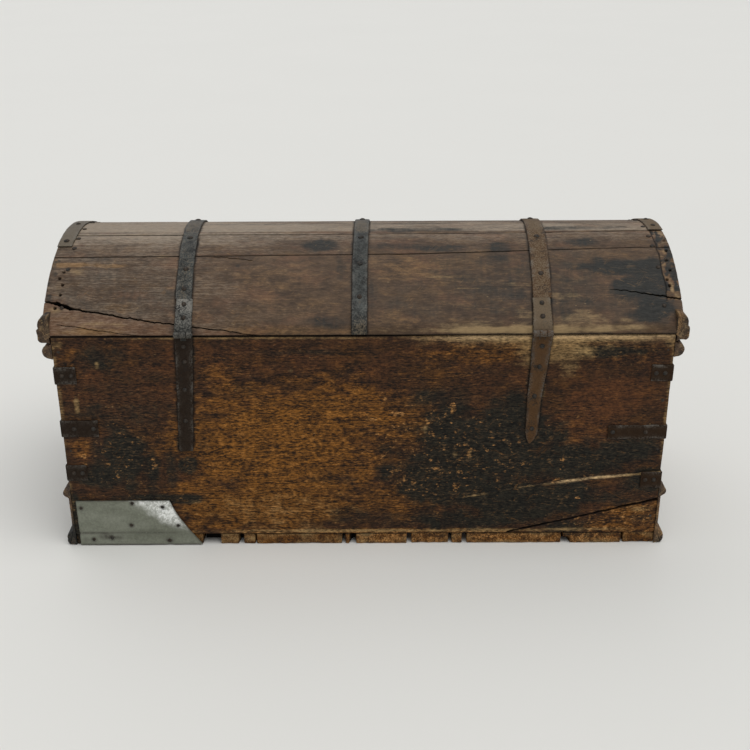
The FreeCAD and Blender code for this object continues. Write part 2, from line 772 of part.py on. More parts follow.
def build_lock():
    """A chest lock on the inside of the front board, its catch on the lid and a keyhole plate outside."""
    left = centre_strap_x - lock_width / 2
    right = centre_strap_x + lock_width / 2
    top = case_height - lock_below_joint
    low = top - lock_height
    back = inner_front - lock_depth
    case = box((left, back, low), (right, inner_front, top))
    hollow = box(
        (left + lock_wall, back + lock_wall, low + lock_wall),
        (right - lock_wall, inner_front, top - lock_wall),
    )
    catch_middle = inner_front - lock_depth / 2
    catch_back = catch_middle - catch_width / 2
    catch_front = catch_middle + catch_width / 2
    catch_left = centre_strap_x - catch_thickness / 2
    catch_right = centre_strap_x + catch_thickness / 2
    catch_low = case_height - catch_drop
    slot = box(
        (catch_left - catch_slot_gap, catch_back - catch_slot_gap, top - 2 * lock_wall),
        (catch_right + catch_slot_gap, inner_front, top + cut_margin),
    )
    window_width, window_height = catch_window
    window_low = catch_low + catch_foot
    bolt_low = window_low + bolt_clearance
    bolt_top = window_low + window_height - bolt_clearance
    bolt_back = catch_middle - window_width / 2 + bolt_clearance
    bolt_front = catch_middle + window_width / 2 - bolt_clearance
    bolt_left = catch_right + bolt_gap
    ledge = box(
        (bolt_left, back + lock_wall, bolt_low - ledge_height),
        (right - lock_wall, bolt_front + ledge_spare, bolt_low),
    )
    nodes["lock_case"] = case.cut([hollow, slot]).fuse(ledge).removeSplitter()
    bolt_right = bolt_left + bolt_length
    nodes["lock_bolt"] = box((bolt_left, bolt_back, bolt_low), (bolt_right, bolt_front, bolt_top))

    bar = box((catch_left, catch_back, catch_low), (catch_right, catch_front, lip_top + dome_rise))
    reach = Vector(catch_left - cut_margin, 0, dome_centre)
    bar = bar.common(rod(inner_radius - wood_fit, reach, catch_thickness + 2 * cut_margin, ALONG_X))
    window = box(
        (catch_left - cut_margin, catch_middle - window_width / 2, window_low),
        (catch_right + cut_margin, catch_middle + window_width / 2, window_low + window_height),
    )
    nodes["lock_catch"] = bar.cut(window)

    plate_top = rim_foot - keyhole_plate_gap
    plate_low = plate_top - keyhole_plate_height
    half_plate = keyhole_plate_width / 2
    upper = plate_top - keyhole_plate_point
    lower = plate_low + keyhole_plate_point
    steps = [
        (centre_strap_x + half_plate, lower),
        (centre_strap_x + half_plate, upper),
        ((centre_strap_x, plate_top), (centre_strap_x - half_plate, upper)),
        (centre_strap_x - half_plate, lower),
    ]
    start = (centre_strap_x, plate_low)
    plate = outline_face(start, steps, on_y(front_face)).extrude(Vector(0, iron_thickness, 0))
    eye_height = plate_top - keyhole_drop
    hole_back = inner_front - cut_margin
    hole_front = front_face + iron_thickness + cut_margin
    half_slot = keyhole_slot_width / 2
    eye = rod(keyhole_radius, Vector(centre_strap_x, hole_back, eye_height), hole_front - hole_back, ALONG_Y)
    slot = box(
        (centre_strap_x - half_slot, hole_back, eye_height - keyhole_slot_length),
        (centre_strap_x + half_slot, hole_front, eye_height),
    )
    keyhole = eye.fuse(slot)
    nodes["keyhole_plate"] = plate.cut(keyhole)
    nodes["front_board"] = nodes["front_board"].cut(keyhole)
    inset = half_plate - keyhole_nail_inset
    places = [
        (Vector(centre_strap_x + across, front_face + iron_thickness, height), ALONG_Y)
        for across in (-inset, inset)
        for height in (lower + keyhole_nail_drop, upper - keyhole_nail_drop)
    ]
    pieces = ["keyhole_plate", "front_board"]
    drive_nails("case_rose_nails", rose_nail, nail_bite + iron_thickness, places, pieces)


def main():
    """Builds every piece and writes one file for each."""
    build_boards()
    build_case_mouldings()
    build_dome()
    build_lid_mouldings()
    build_hinge("left", left_hinge_x, left_leaf_width, left_lower_outline)
    build_hinge("right", right_hinge_x, right_leaf_width, right_lower_outline)
    build_lid_irons()
    build_corner_irons()
    build_patch()
    build_strap_nails()
    build_wood_nails()
    build_handles()
    build_lock()
    os.makedirs("parts", exist_ok=True)
    for name, shape in nodes.items():
        shape.exportStep("parts/%s.step" % name)


main()
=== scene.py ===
"""The looks of a worn dome top trunk: old boards and staves, forged straps, nails and a zinc patch."""

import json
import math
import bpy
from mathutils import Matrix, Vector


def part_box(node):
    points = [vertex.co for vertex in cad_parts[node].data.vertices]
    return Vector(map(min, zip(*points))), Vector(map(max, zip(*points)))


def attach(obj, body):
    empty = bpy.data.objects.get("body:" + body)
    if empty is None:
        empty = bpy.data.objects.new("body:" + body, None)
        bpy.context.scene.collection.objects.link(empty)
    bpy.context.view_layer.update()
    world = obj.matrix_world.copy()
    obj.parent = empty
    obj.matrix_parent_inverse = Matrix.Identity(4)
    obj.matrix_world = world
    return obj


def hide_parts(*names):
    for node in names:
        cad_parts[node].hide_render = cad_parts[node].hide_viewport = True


bl_info = {
    "name": "Dome Top Trunk",
    "version": (1, 0, 0),
    "blender": (4, 5, 0),
    "location": "3D View > Sidebar > Trunk",
    "description": "Dresses a dome top trunk in worn wood, forged iron and patched zinc",
    "category": "Object",
}

import bmesh
import bpy
import numpy as np
from bpy.props import FloatProperty, FloatVectorProperty, PointerProperty
from mathutils import Matrix, Vector

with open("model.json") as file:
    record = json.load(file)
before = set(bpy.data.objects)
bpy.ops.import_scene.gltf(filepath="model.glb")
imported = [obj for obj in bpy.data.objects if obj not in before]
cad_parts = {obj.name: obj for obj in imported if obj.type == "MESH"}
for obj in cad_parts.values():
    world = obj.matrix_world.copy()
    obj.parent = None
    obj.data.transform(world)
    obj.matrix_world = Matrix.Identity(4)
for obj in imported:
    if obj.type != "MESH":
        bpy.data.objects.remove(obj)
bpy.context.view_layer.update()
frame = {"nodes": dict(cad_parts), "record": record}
MM = 0.001
BODY_OF = {node: body for body, nodes in frame["record"]["behaviour"]["bodies"].items() for node in nodes}
SLOT_OF = {row["node"]: row["material_slot"] for row in frame["record"]["subparts"]}
SIDES = (("left", -1), ("right", 1))
ALONG_X, ALONG_Y, ALONG_Z = np.eye(3)


def node_box(node):
    """A CAD node's lowest and highest corner, in millimetres."""
    low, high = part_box(node)
    return np.array(low) / MM, np.array(high) / MM


def node_points(node):
    """A CAD node's points, in millimetres."""
    return np.array([vert.co for vert in frame["nodes"][node].data.vertices]) / MM


# Places read from the frame, in millimetres
BACK_LOW, BACK_HIGH = node_box("back_board")
HALF_LENGTH = BACK_HIGH[0]
BACK_Y = BACK_LOW[1]
BOARD = BACK_HIGH[1] - BACK_LOW[1]
FLOOR_TOP = BACK_LOW[2]
JOINT_Z = BACK_HIGH[2]
CREST_Z = node_box("crown_stave")[1][2]
STAVE_REACH = node_box("crown_stave")[1][0]
# How thick the staves and the zinc sheet are, and how far the sheet's outer face is off the wood
STAVE = 20.0
SHEET = 0.85
SHEET_FIT = 0.9
# The lid's upright lip, and the dome over it
LIP = 15.0
RISE = CREST_Z - JOINT_Z - LIP
DOME_RADIUS = (BACK_Y ** 2 + RISE ** 2) / (2 * RISE)
DOME_CENTRE = CREST_Z - DOME_RADIUS
EDGE_ANGLE = math.atan2(-BACK_Y, JOINT_Z + LIP - DOME_CENTRE)
# The lip turns into the dome over a round of this radius
LIP_ROUND = 40.0
LIP_TURN = math.asin((-BACK_Y - LIP_ROUND) / (DOME_RADIUS - LIP_ROUND))
LIP_START = DOME_CENTRE + (DOME_RADIUS - LIP_ROUND) * math.cos(LIP_TURN) - JOINT_Z
LIP_END = LIP + (EDGE_ANGLE - LIP_TURN) * DOME_RADIUS
OVER_DOME = 2 * LIP + 2 * EDGE_ANGLE * DOME_RADIUS


# Numbers over surfaces

def soft_noise(seed, *cells):
    """Smooth noise from -1 to 1 at places given in cells."""
    cells = np.broadcast_arrays(*cells)
    base = [np.floor(c).astype(np.int64) for c in cells]
    part = [c - b for c, b in zip(cells, base)]
    part = [p * p * (3 - 2 * p) for p in part]
    total = np.zeros(cells[0].shape)
    for corner in range(2 ** len(cells)):
        weight = np.ones(cells[0].shape)
        mixed = np.full(cells[0].shape, seed * 1013904223, np.int64)
        for axis, (b, p) in enumerate(zip(base, part)):
            step = corner >> axis & 1
            weight = weight * (p if step else 1 - p)
            mixed = (mixed ^ (b + step)) * (374761393 + 668265262 * axis)
            mixed = mixed ^ (mixed >> 15)
        mixed = (mixed * 1274126177) & 0x7FFFFFFF
        mixed = mixed ^ (mixed >> 13)
        total = total + weight * ((mixed & 0xFFFF) / 32767.5 - 1)
    return total


def rough_noise(seed, *cells):
    """Noise with three sizes of detail."""
    return sum(soft_noise(seed + n, *[c * 2 ** n for c in cells]) * 0.55 ** n for n in range(3)) / 1.85


def ease(low, high, value):
    """A smooth step from 0 at low to 1 at high."""
    t = np.clip((value - low) / (high - low), 0, 1)
    return t * t * (3 - 2 * t)


def most(*values):
    """The largest of several values at each place."""
    return np.maximum.reduce(np.broadcast_arrays(*values))


def share(value):
    """A value kept between 0 and 1."""
    return np.clip(value, 0, 1)


def blots(u, v, spots, seed, ragged=0.3):
    """How strongly ragged blots cover places; a spot is (u, v, half length, half height, strength)."""
    wobble = ragged * rough_noise(seed, u / 38, v / 22)
    cover = np.zeros(np.broadcast(u, v).shape)
    for u0, v0, long, high, full in spots:
        away = np.hypot((u - u0) / long, (v - v0) / high) + wobble
        cover = np.maximum(cover, full * ease(1.45, 0.25, away))
    return cover


def round_over(away, radius):
    """How far an edge is worn down, at a distance from it, for a round of a radius."""
    inside = np.clip(radius - away, 0, radius)
    return radius - np.sqrt(np.maximum(radius ** 2 - inside ** 2, 0))


def spread(start, stop, step):
    """Grid lines that come closer together near both ends."""
    fine = np.array([0.0, 0.8, 2.0, 4.0, 7.0])
    if stop - start < 3 * fine[-1]:
        return np.linspace(start, stop, max(3, int((stop - start) / 2)))
    count = max(1, round((stop - start - 2 * fine[-1]) / step))
    middle = np.linspace(start + fine[-1], stop - fine[-1], count + 1)
    return np.concatenate([start + fine[:-1], middle, stop - fine[-2::-1]])


class Crack:
    """A crack along the grain: its course over the board, its widths, its depth."""

    # How far the wood round it is kept clear for its edges
    SPARE = 0.5
    # Rows across it: side of its course, distance past its edge, share of its depth
    ROWS = ((-1, SPARE, 0.0), (-1, 0.0, 0.35), (0, 0.0, 1.0), (1, 0.0, 0.35), (1, SPARE, 0.0))

    def __init__(self, course, widths, depth):
        self.course = course
        self.widths = widths
        self.depth = depth

    def course_at(self, us):
        """Where it runs at places along the board."""
        return np.interp(us, *zip(*self.course))

    def width_at(self, us):
        """How wide it is at places along the board."""
        return np.maximum(np.interp(us, *zip(*self.widths)), 0.1)


def rows_along(us, low, high, step, cracks=()):
    """Rows from the low to the high edge that follow the cracks, and how deep in a crack each place is."""
    low = np.broadcast_to(low, us.shape).astype(float)
    high = np.broadcast_to(high, us.shape).astype(float)
    rows, depths = [], []

    def fill(start, stop, first, last):
        span = np.max(stop - start)
        even = np.linspace(0, 1, max(3, int(span / step)))
        parts = spread(0, span, step) / span if first or last else even
        for part in parts[0 if first else 1: None if last else -1]:
            rows.append(start + (stop - start) * part)
            depths.append(np.zeros(us.shape))

    here = low
    for number, crack in enumerate(cracks):
        width = crack.width_at(us)
        jag = 0.8 * soft_noise(91 + number, us / 9) + 0.5 * soft_noise(95 + number, us / 3.1)
        course = crack.course_at(us) + jag * np.clip(width, 0, 1.5)
        course = np.clip(course, here + 0.6, high - 0.6 - 0.4 * (len(cracks) - number))
        fill(here, course - width / 2 - crack.SPARE, number == 0, False)
        for sign, spare, deep in crack.ROWS:
            rows.append(course + sign * (width / 2 + spare))
            depths.append(deep * ease(0.25, 0.9, width) * crack.depth)
        here = course + width / 2 + crack.SPARE
    fill(here, high, not cracks, True)
    return np.array(rows), np.array(depths)


def level_rows(heights, us):
    """Level rows at these heights."""
    return np.repeat(heights[:, None], len(us), 1)


# Meshes: points in millimetres, faces, and what is painted on the points

def make_piece(node, mesh, sharp=38.0, name=None):
    """Makes the piece that stands for a CAD node, on the node's body and with its slot's finish."""
    verts, faces, paints = mesh
    slot = SLOT_OF[node]
    name = name or ("worn_" if slot.endswith("wood") else "forged_") + node
    data = bpy.data.meshes.new(name)
    data.from_pydata((np.asarray(verts) * MM).tolist(), [], faces)
    for key, values in paints.items():
        values = np.asarray(values, np.float32)
        kind, field = ("FLOAT_VECTOR", "vector") if values.ndim == 2 else ("FLOAT", "value")
        data.attributes.new(key, kind, "POINT").data.foreach_set(field, values.ravel())
    shell = bmesh.new()
    shell.from_mesh(data)
    bmesh.ops.recalc_face_normals(shell, faces=shell.faces)
    shell.to_mesh(data)
    shell.free()
    data.shade_smooth()
    data.set_sharp_from_angle(angle=math.radians(sharp))
    data.materials.append(finish_named(slot))
    piece = bpy.data.objects.new(name, data)
    bpy.context.scene.collection.objects.link(piece)
    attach(piece, BODY_OF[node])
    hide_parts(node)


def join_parts(parts):
    """Joins meshes into one."""
    verts, faces, paints, count = [], [], {}, 0
    for part_verts, part_faces, part_paints in parts:
        verts.append(part_verts)
        faces += [[index + count for index in face] for face in part_faces]
        for key, values in part_paints.items():
            paints.setdefault(key, []).append(values)
        count += len(part_verts)
    return np.concatenate(verts), faces, {key: np.concatenate(values) for key, values in paints.items()}


def skin(rings, points, closed=False):
    """Faces between rings of points, with flat ends unless the last ring meets the first."""
    faces = []
    for n in range(rings if closed else rings - 1):
        m = (n + 1) % rings
        for k in range(points):
            j = (k + 1) % points
            faces.append([n * points + k, n * points + j, m * points + j, m * points + k])
    if not closed:
        faces.append(list(range(points)))
        faces.append([(rings - 1) * points + k for k in range(points)])
    return faces


def along_board(u, v, w):
    """Grain that runs along a board's length."""
    return np.stack([u, v, w], -1)


def further_along(shift):
    """Grain along a board that is cut from another stretch of wood."""
    return lambda u, v, w: np.stack([u + shift, v, w], -1)


def across_board(shift):
    """Grain that runs into a board's face, from another stretch of wood."""
    return lambda u, v, w: np.stack([w + shift, u, v], -1)


def on_back(u, v, w):
    """Places a board's face on the back of the case."""
    return np.stack([u, BACK_Y + w, v], -1)


def on_front(u, v, w):
    """Places a board's face on the front of the case."""
    return np.stack([u, -BACK_Y - w, v], -1)


def on_end(sign):
    """Places a board's face on the left or right end."""
    return lambda u, v, w: np.stack([sign * (HALF_LENGTH - w), u, v], -1)


def on_dome(u, v, w):
    """Places a stave's face on the dome."""
    return over_dome(u, v, -w)


def on_patch(u, v, w):
    """Places the zinc sheet's face on the back of the case."""
    return np.stack([v, BACK_Y - SHEET_FIT + np.minimum(w, SHEET), u], -1)


def board_mesh(us, rows, depth, thick, place, paints, grain=along_board, coarse=6):
    """A board: a fine worn outer face, a coarse inner face and the walls between them."""
    count_v, count_u = rows.shape
    along = np.broadcast_to(us, rows.shape)
    keep_u = sorted({*range(0, count_u, coarse), count_u - 1})
    keep_v = sorted({*range(0, count_v, coarse), count_v - 1})
    pick = np.ix_(keep_v, keep_u)
    inner_u, inner_v = along[pick].ravel(), rows[pick].ravel()
    outer_at = along.ravel(), rows.ravel(), depth.ravel()
    inner_at = inner_u, inner_v, np.full(inner_u.shape, thick)
    start, wide = rows.size, len(keep_u)

    def out(r, c):
        return r * count_u + c

    def inn(i, j):
        return start + i * wide + j

    r, c = np.meshgrid(np.arange(count_v - 1), np.arange(count_u - 1), indexing="ij")
    quads = np.stack([out(r, c), out(r, c + 1), out(r + 1, c + 1), out(r + 1, c)], -1).reshape(-1, 4)
    i, j = np.meshgrid(np.arange(len(keep_v) - 1), np.arange(wide - 1), indexing="ij")
    back = np.stack([inn(i, j), inn(i + 1, j), inn(i + 1, j + 1), inn(i, j + 1)], -1).reshape(-1, 4)
    faces = quads.tolist() + back.tolist()
    for row, i in ((0, 0), (count_v - 1, len(keep_v) - 1)):
        for j in range(wide - 1):
            edge = [out(row, c) for c in range(keep_u[j], keep_u[j + 1] + 1)]
            faces.append(edge + [inn(i, j + 1), inn(i, j)])
    for column, j in ((0, 0), (count_u - 1, wide - 1)):
        for i in range(len(keep_v) - 1):
            edge = [out(r, column) for r in range(keep_v[i], keep_v[i + 1] + 1)]
            faces.append(edge + [inn(i + 1, j), inn(i, j)])
    painted = {"grain": np.concatenate([grain(*outer_at), grain(*inner_at)]) * MM}
    for key, values in paints.items():
        outside = np.broadcast_to(values, rows.shape).ravel()
        painted[key] = np.concatenate([outside, np.zeros(inner_u.shape)])
    painted["raw"] = np.concatenate([np.zeros(start), np.ones(inner_u.shape)])
    return np.concatenate([place(*outer_at), place(*inner_at)]), faces, painted


def wear(us, rows, seed, edge, chips):
    """How deep a board's face is worn, at its edges and all over, and how near an edge each place is."""
    amount = bpy.context.scene.trunk_sizes.wear
    away_u = np.minimum(us - us[0], us[-1] - us)[None, :]
    away_v = np.minimum(rows - rows[:1], rows[-1:] - rows)
    along = np.broadcast_to(us, rows.shape)
    nick = share(rough_noise(seed, along / 24, rows / 24) - 0.15) * chips
    by_end, by_side = (edge + nick) * amount, (edge * 0.7 + nick) * amount
    depth = np.maximum(round_over(away_u, by_end), round_over(away_v, by_side))
    depth = depth + 0.35 * (1 + soft_noise(seed + 3, along / 210, rows / 34))
    depth = depth + 0.16 * (1 + soft_noise(seed + 4, along / 60, rows / 5))
    return depth, np.maximum(ease(14, 0, away_u), ease(11, 0, away_v))


def dents(us, rows, seed, count, depth=0.9):
    """Small knocks in a surface."""
    draw = np.random.default_rng(seed)
    along = np.broadcast_to(us, rows.shape)
    total = np.zeros(rows.shape)
    for _ in range(count):
        u = draw.uniform(us[0], us[-1])
        v = draw.uniform(rows.min(), rows.max())
        long, high, deep = draw.uniform(4, 22), draw.uniform(2.5, 6), draw.uniform(0.3, 1) * depth
        total = np.maximum(total, deep * ease(1, 0.2, np.hypot((along - u) / long, (rows - v) / high)))
    return total


def over_dome(x, s, height):
    """Points over the lid: s runs from the back joint over the dome, height is out from the wood."""
    behind = np.minimum(s, OVER_DOME - s)
    side = np.where(s <= OVER_DOME / 2, 1.0, -1.0)
    part = share((behind - LIP_START) / (LIP_END - LIP_START))
    turn = math.pi / 2 + (LIP_TURN - math.pi / 2) * part
    on_arc = behind > LIP_END
    lean = np.where(on_arc, EDGE_ANGLE - (behind - LIP) / DOME_RADIUS, turn)
    radius = np.where(on_arc, DOME_RADIUS, LIP_ROUND) + height
    centre_y = np.where(on_arc, 0.0, BACK_Y + LIP_ROUND)
    centre_z = np.where(on_arc, DOME_CENTRE, JOINT_Z + LIP_START)
    y = centre_y - radius * np.sin(lean)
    z = centre_z + radius * np.cos(lean) - np.clip(LIP_START - behind, 0, None)
    return np.stack([np.broadcast_to(x, np.shape(s)), y * side, z], -1)


def out_of_dome(s):
    """Directions straight out of the lid."""
    return over_dome(0.0, s, 1.0) - over_dome(0.0, s, 0.0)


def along_dome(y, outside):
    """How far over the dome a place lies that is y from the middle and this far outside the wood."""
    return LIP + (EDGE_ANGLE + math.asin(y / (DOME_RADIUS + outside))) * DOME_RADIUS


def run_along(line):
    """How far along a line each of its points lies."""
    return np.concatenate([[0], np.cumsum(np.linalg.norm(np.diff(line, axis=0), axis=1))])


def iron_paint(worn, crust, dust=0.0):
    """What is painted on iron: rubbed places and painted highlights, crust and painted shade, dust and
    painted sheen.
    """
    return {"worn": worn, "crust": crust + 0 * worn, "dust": dust + 0 * worn}


# Points round a flat bar: share of its half width, share of its thickness, how rubbed (which includes a
# painted highlight on its edges), how grimy (which includes painted shade along its foot)
BAR_RING = np.array([
    (-1, 0, 0.2, 0.9), (-1, 0.55, 0.9, 0.6), (-0.92, 0.95, 1.0, 0.3), (-0.55, 1, 0.15, 0),
    (-0.2, 1, 0.05, 0), (0.2, 1, 0.05, 0),
    (0.55, 1, 0.15, 0), (0.92, 0.95, 1.0, 0.3), (1, 0.55, 0.9, 0.6), (1, 0, 0.2, 0.9),
])


def forged_bar(base, out, across, half, thick, seed, dent=0.14, crust=0.0, dust=0.0):
    """A hammered flat bar: rings of points round it at each place along its foot line."""
    wide, high, rubbed, grime_and_shade = BAR_RING.T
    count, points = len(base), len(BAR_RING)
    out, across = np.broadcast_to(out, base.shape), np.broadcast_to(across, base.shape)
    run = run_along(base)
    sway = 0.35 * soft_noise(seed, run / 13)[:, None] * np.sign(wide)
    sway = sway + 0.3 * soft_noise(seed + 1, run / 41)[:, None]
    width = np.broadcast_to(half, (count,))[:, None] * wide + sway * (np.abs(wide) > 0.5)
    hammer = 1 - dent * (0.5 + 0.5 * soft_noise(seed + 2, run[:, None] / 9, wide * 1.7))
    height = thick * high * hammer
    verts = base[:, None] + out[:, None] * height[..., None] + across[:, None] * width[..., None]
    bright = np.tile(rubbed, count) * np.repeat(0.55 + 0.45 * soft_noise(seed + 5, run / 17), points)
    grime_and_shade = np.tile(grime_and_shade, count)
    crust, dust = (np.repeat(np.broadcast_to(value, (count,)), points) for value in (crust, dust))
    paint = iron_paint(share(bright), share(crust + grime_and_shade), dust * (1 - 0.8 * grime_and_shade))
    return verts.reshape(-1, 3), skin(count, points), paint


def forged_rod(line, radius, seed, sides=14):
    """A hammered round rod along a line of points that keeps to one X, with radii along it."""
    ahead = np.gradient(line, axis=0)
    ahead = ahead / np.linalg.norm(ahead, axis=1, keepdims=True)
    other = np.cross(ahead, ALONG_X)
    run = run_along(line)[:, None]
    turns = np.linspace(0, 2 * math.pi, sides, endpoint=False)
    hammer = 1 - 0.05 * (1 + soft_noise(seed, run / 7, np.cos(turns) * 1.3 + 5, np.sin(turns) * 1.3 + 5))
    reach = radius[:, None] * hammer
    verts = line[:, None] + ALONG_X * (reach * np.cos(turns))[..., None]
    verts = verts + other[:, None] * (reach * np.sin(turns))[..., None]
    bright = share(0.25 + 0.5 * soft_noise(seed + 1, run / 15, np.cos(turns) + 3)).ravel()
    return verts.reshape(-1, 3), skin(len(line), sides), iron_paint(bright, 0.3)


def softened(node, width):
    """A CAD piece's shape with its sharp edges knocked round."""
    shell = bmesh.new()
    shell.from_mesh(frame["nodes"][node].data)
    bmesh.ops.remove_doubles(shell, verts=shell.verts, dist=0.00001)
    bmesh.ops.dissolve_limit(shell, angle_limit=math.radians(2), verts=shell.verts, edges=shell.edges)
    joined = [edge for edge in shell.edges if len(edge.link_faces) == 2]
    sharp = [edge for edge in joined if edge.calc_face_angle() > math.radians(35)]
    made = bmesh.ops.bevel(
        shell, geom=sharp, offset=width * MM, segments=2, profile=0.5, affect="EDGES", clamp_overlap=True,
    )
    shell.verts.index_update()
    rubbed = {vert.index for face in made["faces"] for vert in face.verts}
    verts = np.array([vert.co for vert in shell.verts]) / MM
    faces = [[vert.index for vert in face.verts] for face in shell.faces]
    shell.free()
    bright = np.array([0.7 if n in rubbed else 0.1 for n in range(len(verts))])
    return verts, faces, iron_paint(bright, 0.2)


def knuckle(x_start, x_stop, y, z, outer, hole):
    """A rolled hinge knuckle round a pin along X."""
    edge = 0.8
    profile = (
        (x_start, hole, 0.1), (x_start, outer - edge, 0.8), (x_start + edge, outer, 0.9),
        (x_stop - edge, outer, 0.9), (x_stop, outer - edge, 0.8), (x_stop, hole, 0.1),
    )
    turns = np.linspace(0, 2 * math.pi, 24, endpoint=False)
    verts = np.array([(x, y + r * math.cos(a), z + r * math.sin(a)) for a in turns for x, r, _ in profile])
    bright = np.tile([rubbed for _, _, rubbed in profile], len(turns))
    return verts, skin(len(turns), len(profile), closed=True), iron_paint(bright, 0.4, 0.1)


def nails_of(node):
    """Where each nail of a CAD group has its head's foot, which way it points, and its head's radius."""
    keys, index = np.unique(np.round(node_points(node), 3), axis=0, return_inverse=True)
    index = index.ravel()
    owner = list(range(len(keys)))

    def root(n):
        while owner[n] != n:
            owner[n] = owner[owner[n]]
            n = owner[n]
        return n

    for edge in frame["nodes"][node].data.edges:
        a, b = (root(index[n]) for n in edge.vertices)
        owner[a] = b
    groups = {}
    for n in range(len(keys)):
        groups.setdefault(root(n), []).append(n)
    found = []
    for members in groups.values():
        cloud = keys[members]
        middle = (cloud.min(0) + cloud.max(0)) / 2
        axis = np.linalg.svd(cloud - cloud.mean(0), full_matrices=False)[2][0]
        along = (cloud - middle) @ axis
        away = np.linalg.norm(cloud - middle - along[:, None] * axis, axis=1)
        widest = away > away.max() - 0.05
        if along[widest].mean() < 0:
            axis, along = -axis, -along
        found.append((middle + axis * along[widest].min(), axis, away.max()))
    return sorted(found, key=lambda nail: tuple(np.round(nail[0], 2)))


# Rings of a nail head: share of its radius, and share of its height or, below 0, millimetres sunk in
ROSE_RINGS = ((0.98, -0.5), (1.0, 0.22), (0.78, 0.55), (0.4, 0.9))


def rose_head(foot, out, radius, height, draw, sides=9):
    """One hand made nail head: a low irregular pyramid of hammered facets."""
    side = np.cross(out, ALONG_Z if abs(out[2]) < 0.9 else ALONG_X)
    side = side / np.linalg.norm(side)
    other = np.cross(out, side)
    turn = draw.uniform(0, 6.28)
    verts, bright = [], []
    for reach, up in ROSE_RINGS:
        for n in range(sides):
            around = turn + 2 * math.pi * n / sides + draw.uniform(-0.09, 0.09)
            far = radius * reach * draw.uniform(0.88, 1.0)
            rise = up * height * draw.uniform(0.85, 1.0) if up > 0 else up
            flat = side * far * math.cos(around) + other * far * math.sin(around)
            verts.append(foot + flat + out * rise)
            # Wear and a painted highlight: each head is brighter towards its top
            bright.append(0.1 + 0.3 * max(up, 0))
    verts.append(foot + out * height + side * draw.uniform(-0.6, 0.6) + other * draw.uniform(-0.6, 0.6))
    bright.append(0.6)
    top = (len(ROSE_RINGS) - 1) * sides
    fan = [[top + n, top + (n + 1) % sides, len(verts) - 1] for n in range(sides)]
    return np.array(verts), skin(len(ROSE_RINGS), sides)[:-1] + fan, iron_paint(np.array(bright), 0.6)


def end_outline(node, axis, value):
    """The ordered outline of a CAD node's flat end, in millimetres."""
    places = [tuple(point) for point in np.round(node_points(node), 3)]
    used = {}
    for polygon in frame["nodes"][node].data.polygons:
        corners = [places[n] for n in polygon.vertices]
        if all(abs(corner[axis] - value) < 0.01 for corner in corners):
            for pair in zip(corners, corners[1:] + corners[:1]):
                used[frozenset(pair)] = used.get(frozenset(pair), 0) + 1
    links = {}
    for pair, times in used.items():
        if times == 1 and len(pair) == 2:
            a, b = pair
            links.setdefault(a, []).append(b)
            links.setdefault(b, []).append(a)
    start = min(links)
    loop, last = [start], None
    while True:
        ahead = [p for p in sorted(links[loop[-1]]) if p != last]
        last = loop[-1]
        if ahead[0] == start and len(loop) > 2:
            return np.array(loop)
        loop.append(ahead[0] if ahead[0] != start or len(loop) < 2 else ahead[-1])


def closer(outline, step=3.0):
    """The same closed outline with points at most a step apart."""
    points = []
    for a, b in zip(outline, np.roll(outline, -1, axis=0)):
        count = max(1, int(math.ceil(np.linalg.norm(b - a) / step)))
        points += [a + (b - a) * n / count for n in range(count)]
    return np.array(points)


def moulding_mesh(outline, first, last, place, seed, worn_start=False):
    """A moulding with knocked edges from its (out, up) outline, run between ends that may be mitred."""
    ahead = np.roll(outline, -1, axis=0)
    tangent = ahead - np.roll(outline, 1, axis=0)
    normal = np.stack([tangent[:, 1], -tangent[:, 0]], -1)
    normal = normal / np.maximum(np.linalg.norm(normal, axis=1, keepdims=True), 1e-6)
    normal = normal * np.sign(np.sum(outline[:, 0] * ahead[:, 1] - ahead[:, 0] * outline[:, 1]))
    turn = share(np.linalg.norm(np.roll(normal, -1, axis=0) - np.roll(normal, 1, axis=0), axis=1))
    out, up = outline.T
    long = abs(last[0] - first[0])
    parts = spread(0, long, 7.0) / long
    rings, worn, fibres = [], [], []
    for part in parts:
        run = first + (last - first) * part
        from_end = part * long
        knock = share(rough_noise(seed, run / 22, up / 14, out / 14) - 0.1)
        relief = 0.35 + 0.3 * soft_noise(seed + 2, run / 60, up / 5) + knock * (0.8 + 2.6 * turn)
        if worn_start:
            relief = relief + round_over(from_end, 3.5) + 2.4 * knock * ease(26, 0, from_end)
        relief = np.minimum(relief, 0.35 * np.abs(out)) * ease(0.4, 2.0, out)
        shape = outline - normal * relief[:, None]
        rings.append(place(shape[:, 0], run, shape[:, 1]))
        worn.append(share(0.55 * turn + 0.5 * knock + 0.3 * ease(30, 0, from_end) * worn_start))
        fibres.append(np.stack([run, out, up], -1))
    fibres = np.concatenate(fibres)
    run, out, up = fibres.T
    at_end = ease(45, 5, run - first.min()) * worn_start
    paints = {
        "worn": np.concatenate(worn) * 0.5,
        "grain": fibres * MM,
        "stain": share(0.3 + 0.6 * rough_noise(seed + 6, run / 30, out / 12, up / 12) + 0.1 * at_end),
        "gold": share(0.2 + rough_noise(seed + 9, run / 50, up / 20)),
        "flake": 0.2 * at_end,
    }
    return np.concatenate(rings), skin(len(parts), len(outline)), paints


# Finishes

class Value:
    """A shader value whose maths adds nodes."""

    def __init__(self, finish, socket):
        self.finish = finish
        self.socket = socket

    def __add__(self, other):
        return self.finish.maths("ADD", self, other)

    def __sub__(self, other):
        return self.finish.maths("SUBTRACT", self, other)

    def __rsub__(self, other):
        return self.finish.maths("SUBTRACT", other, self)

    def __mul__(self, other):
        return self.finish.maths("MULTIPLY", self, other)

    __radd__ = __add__
    __rmul__ = __mul__


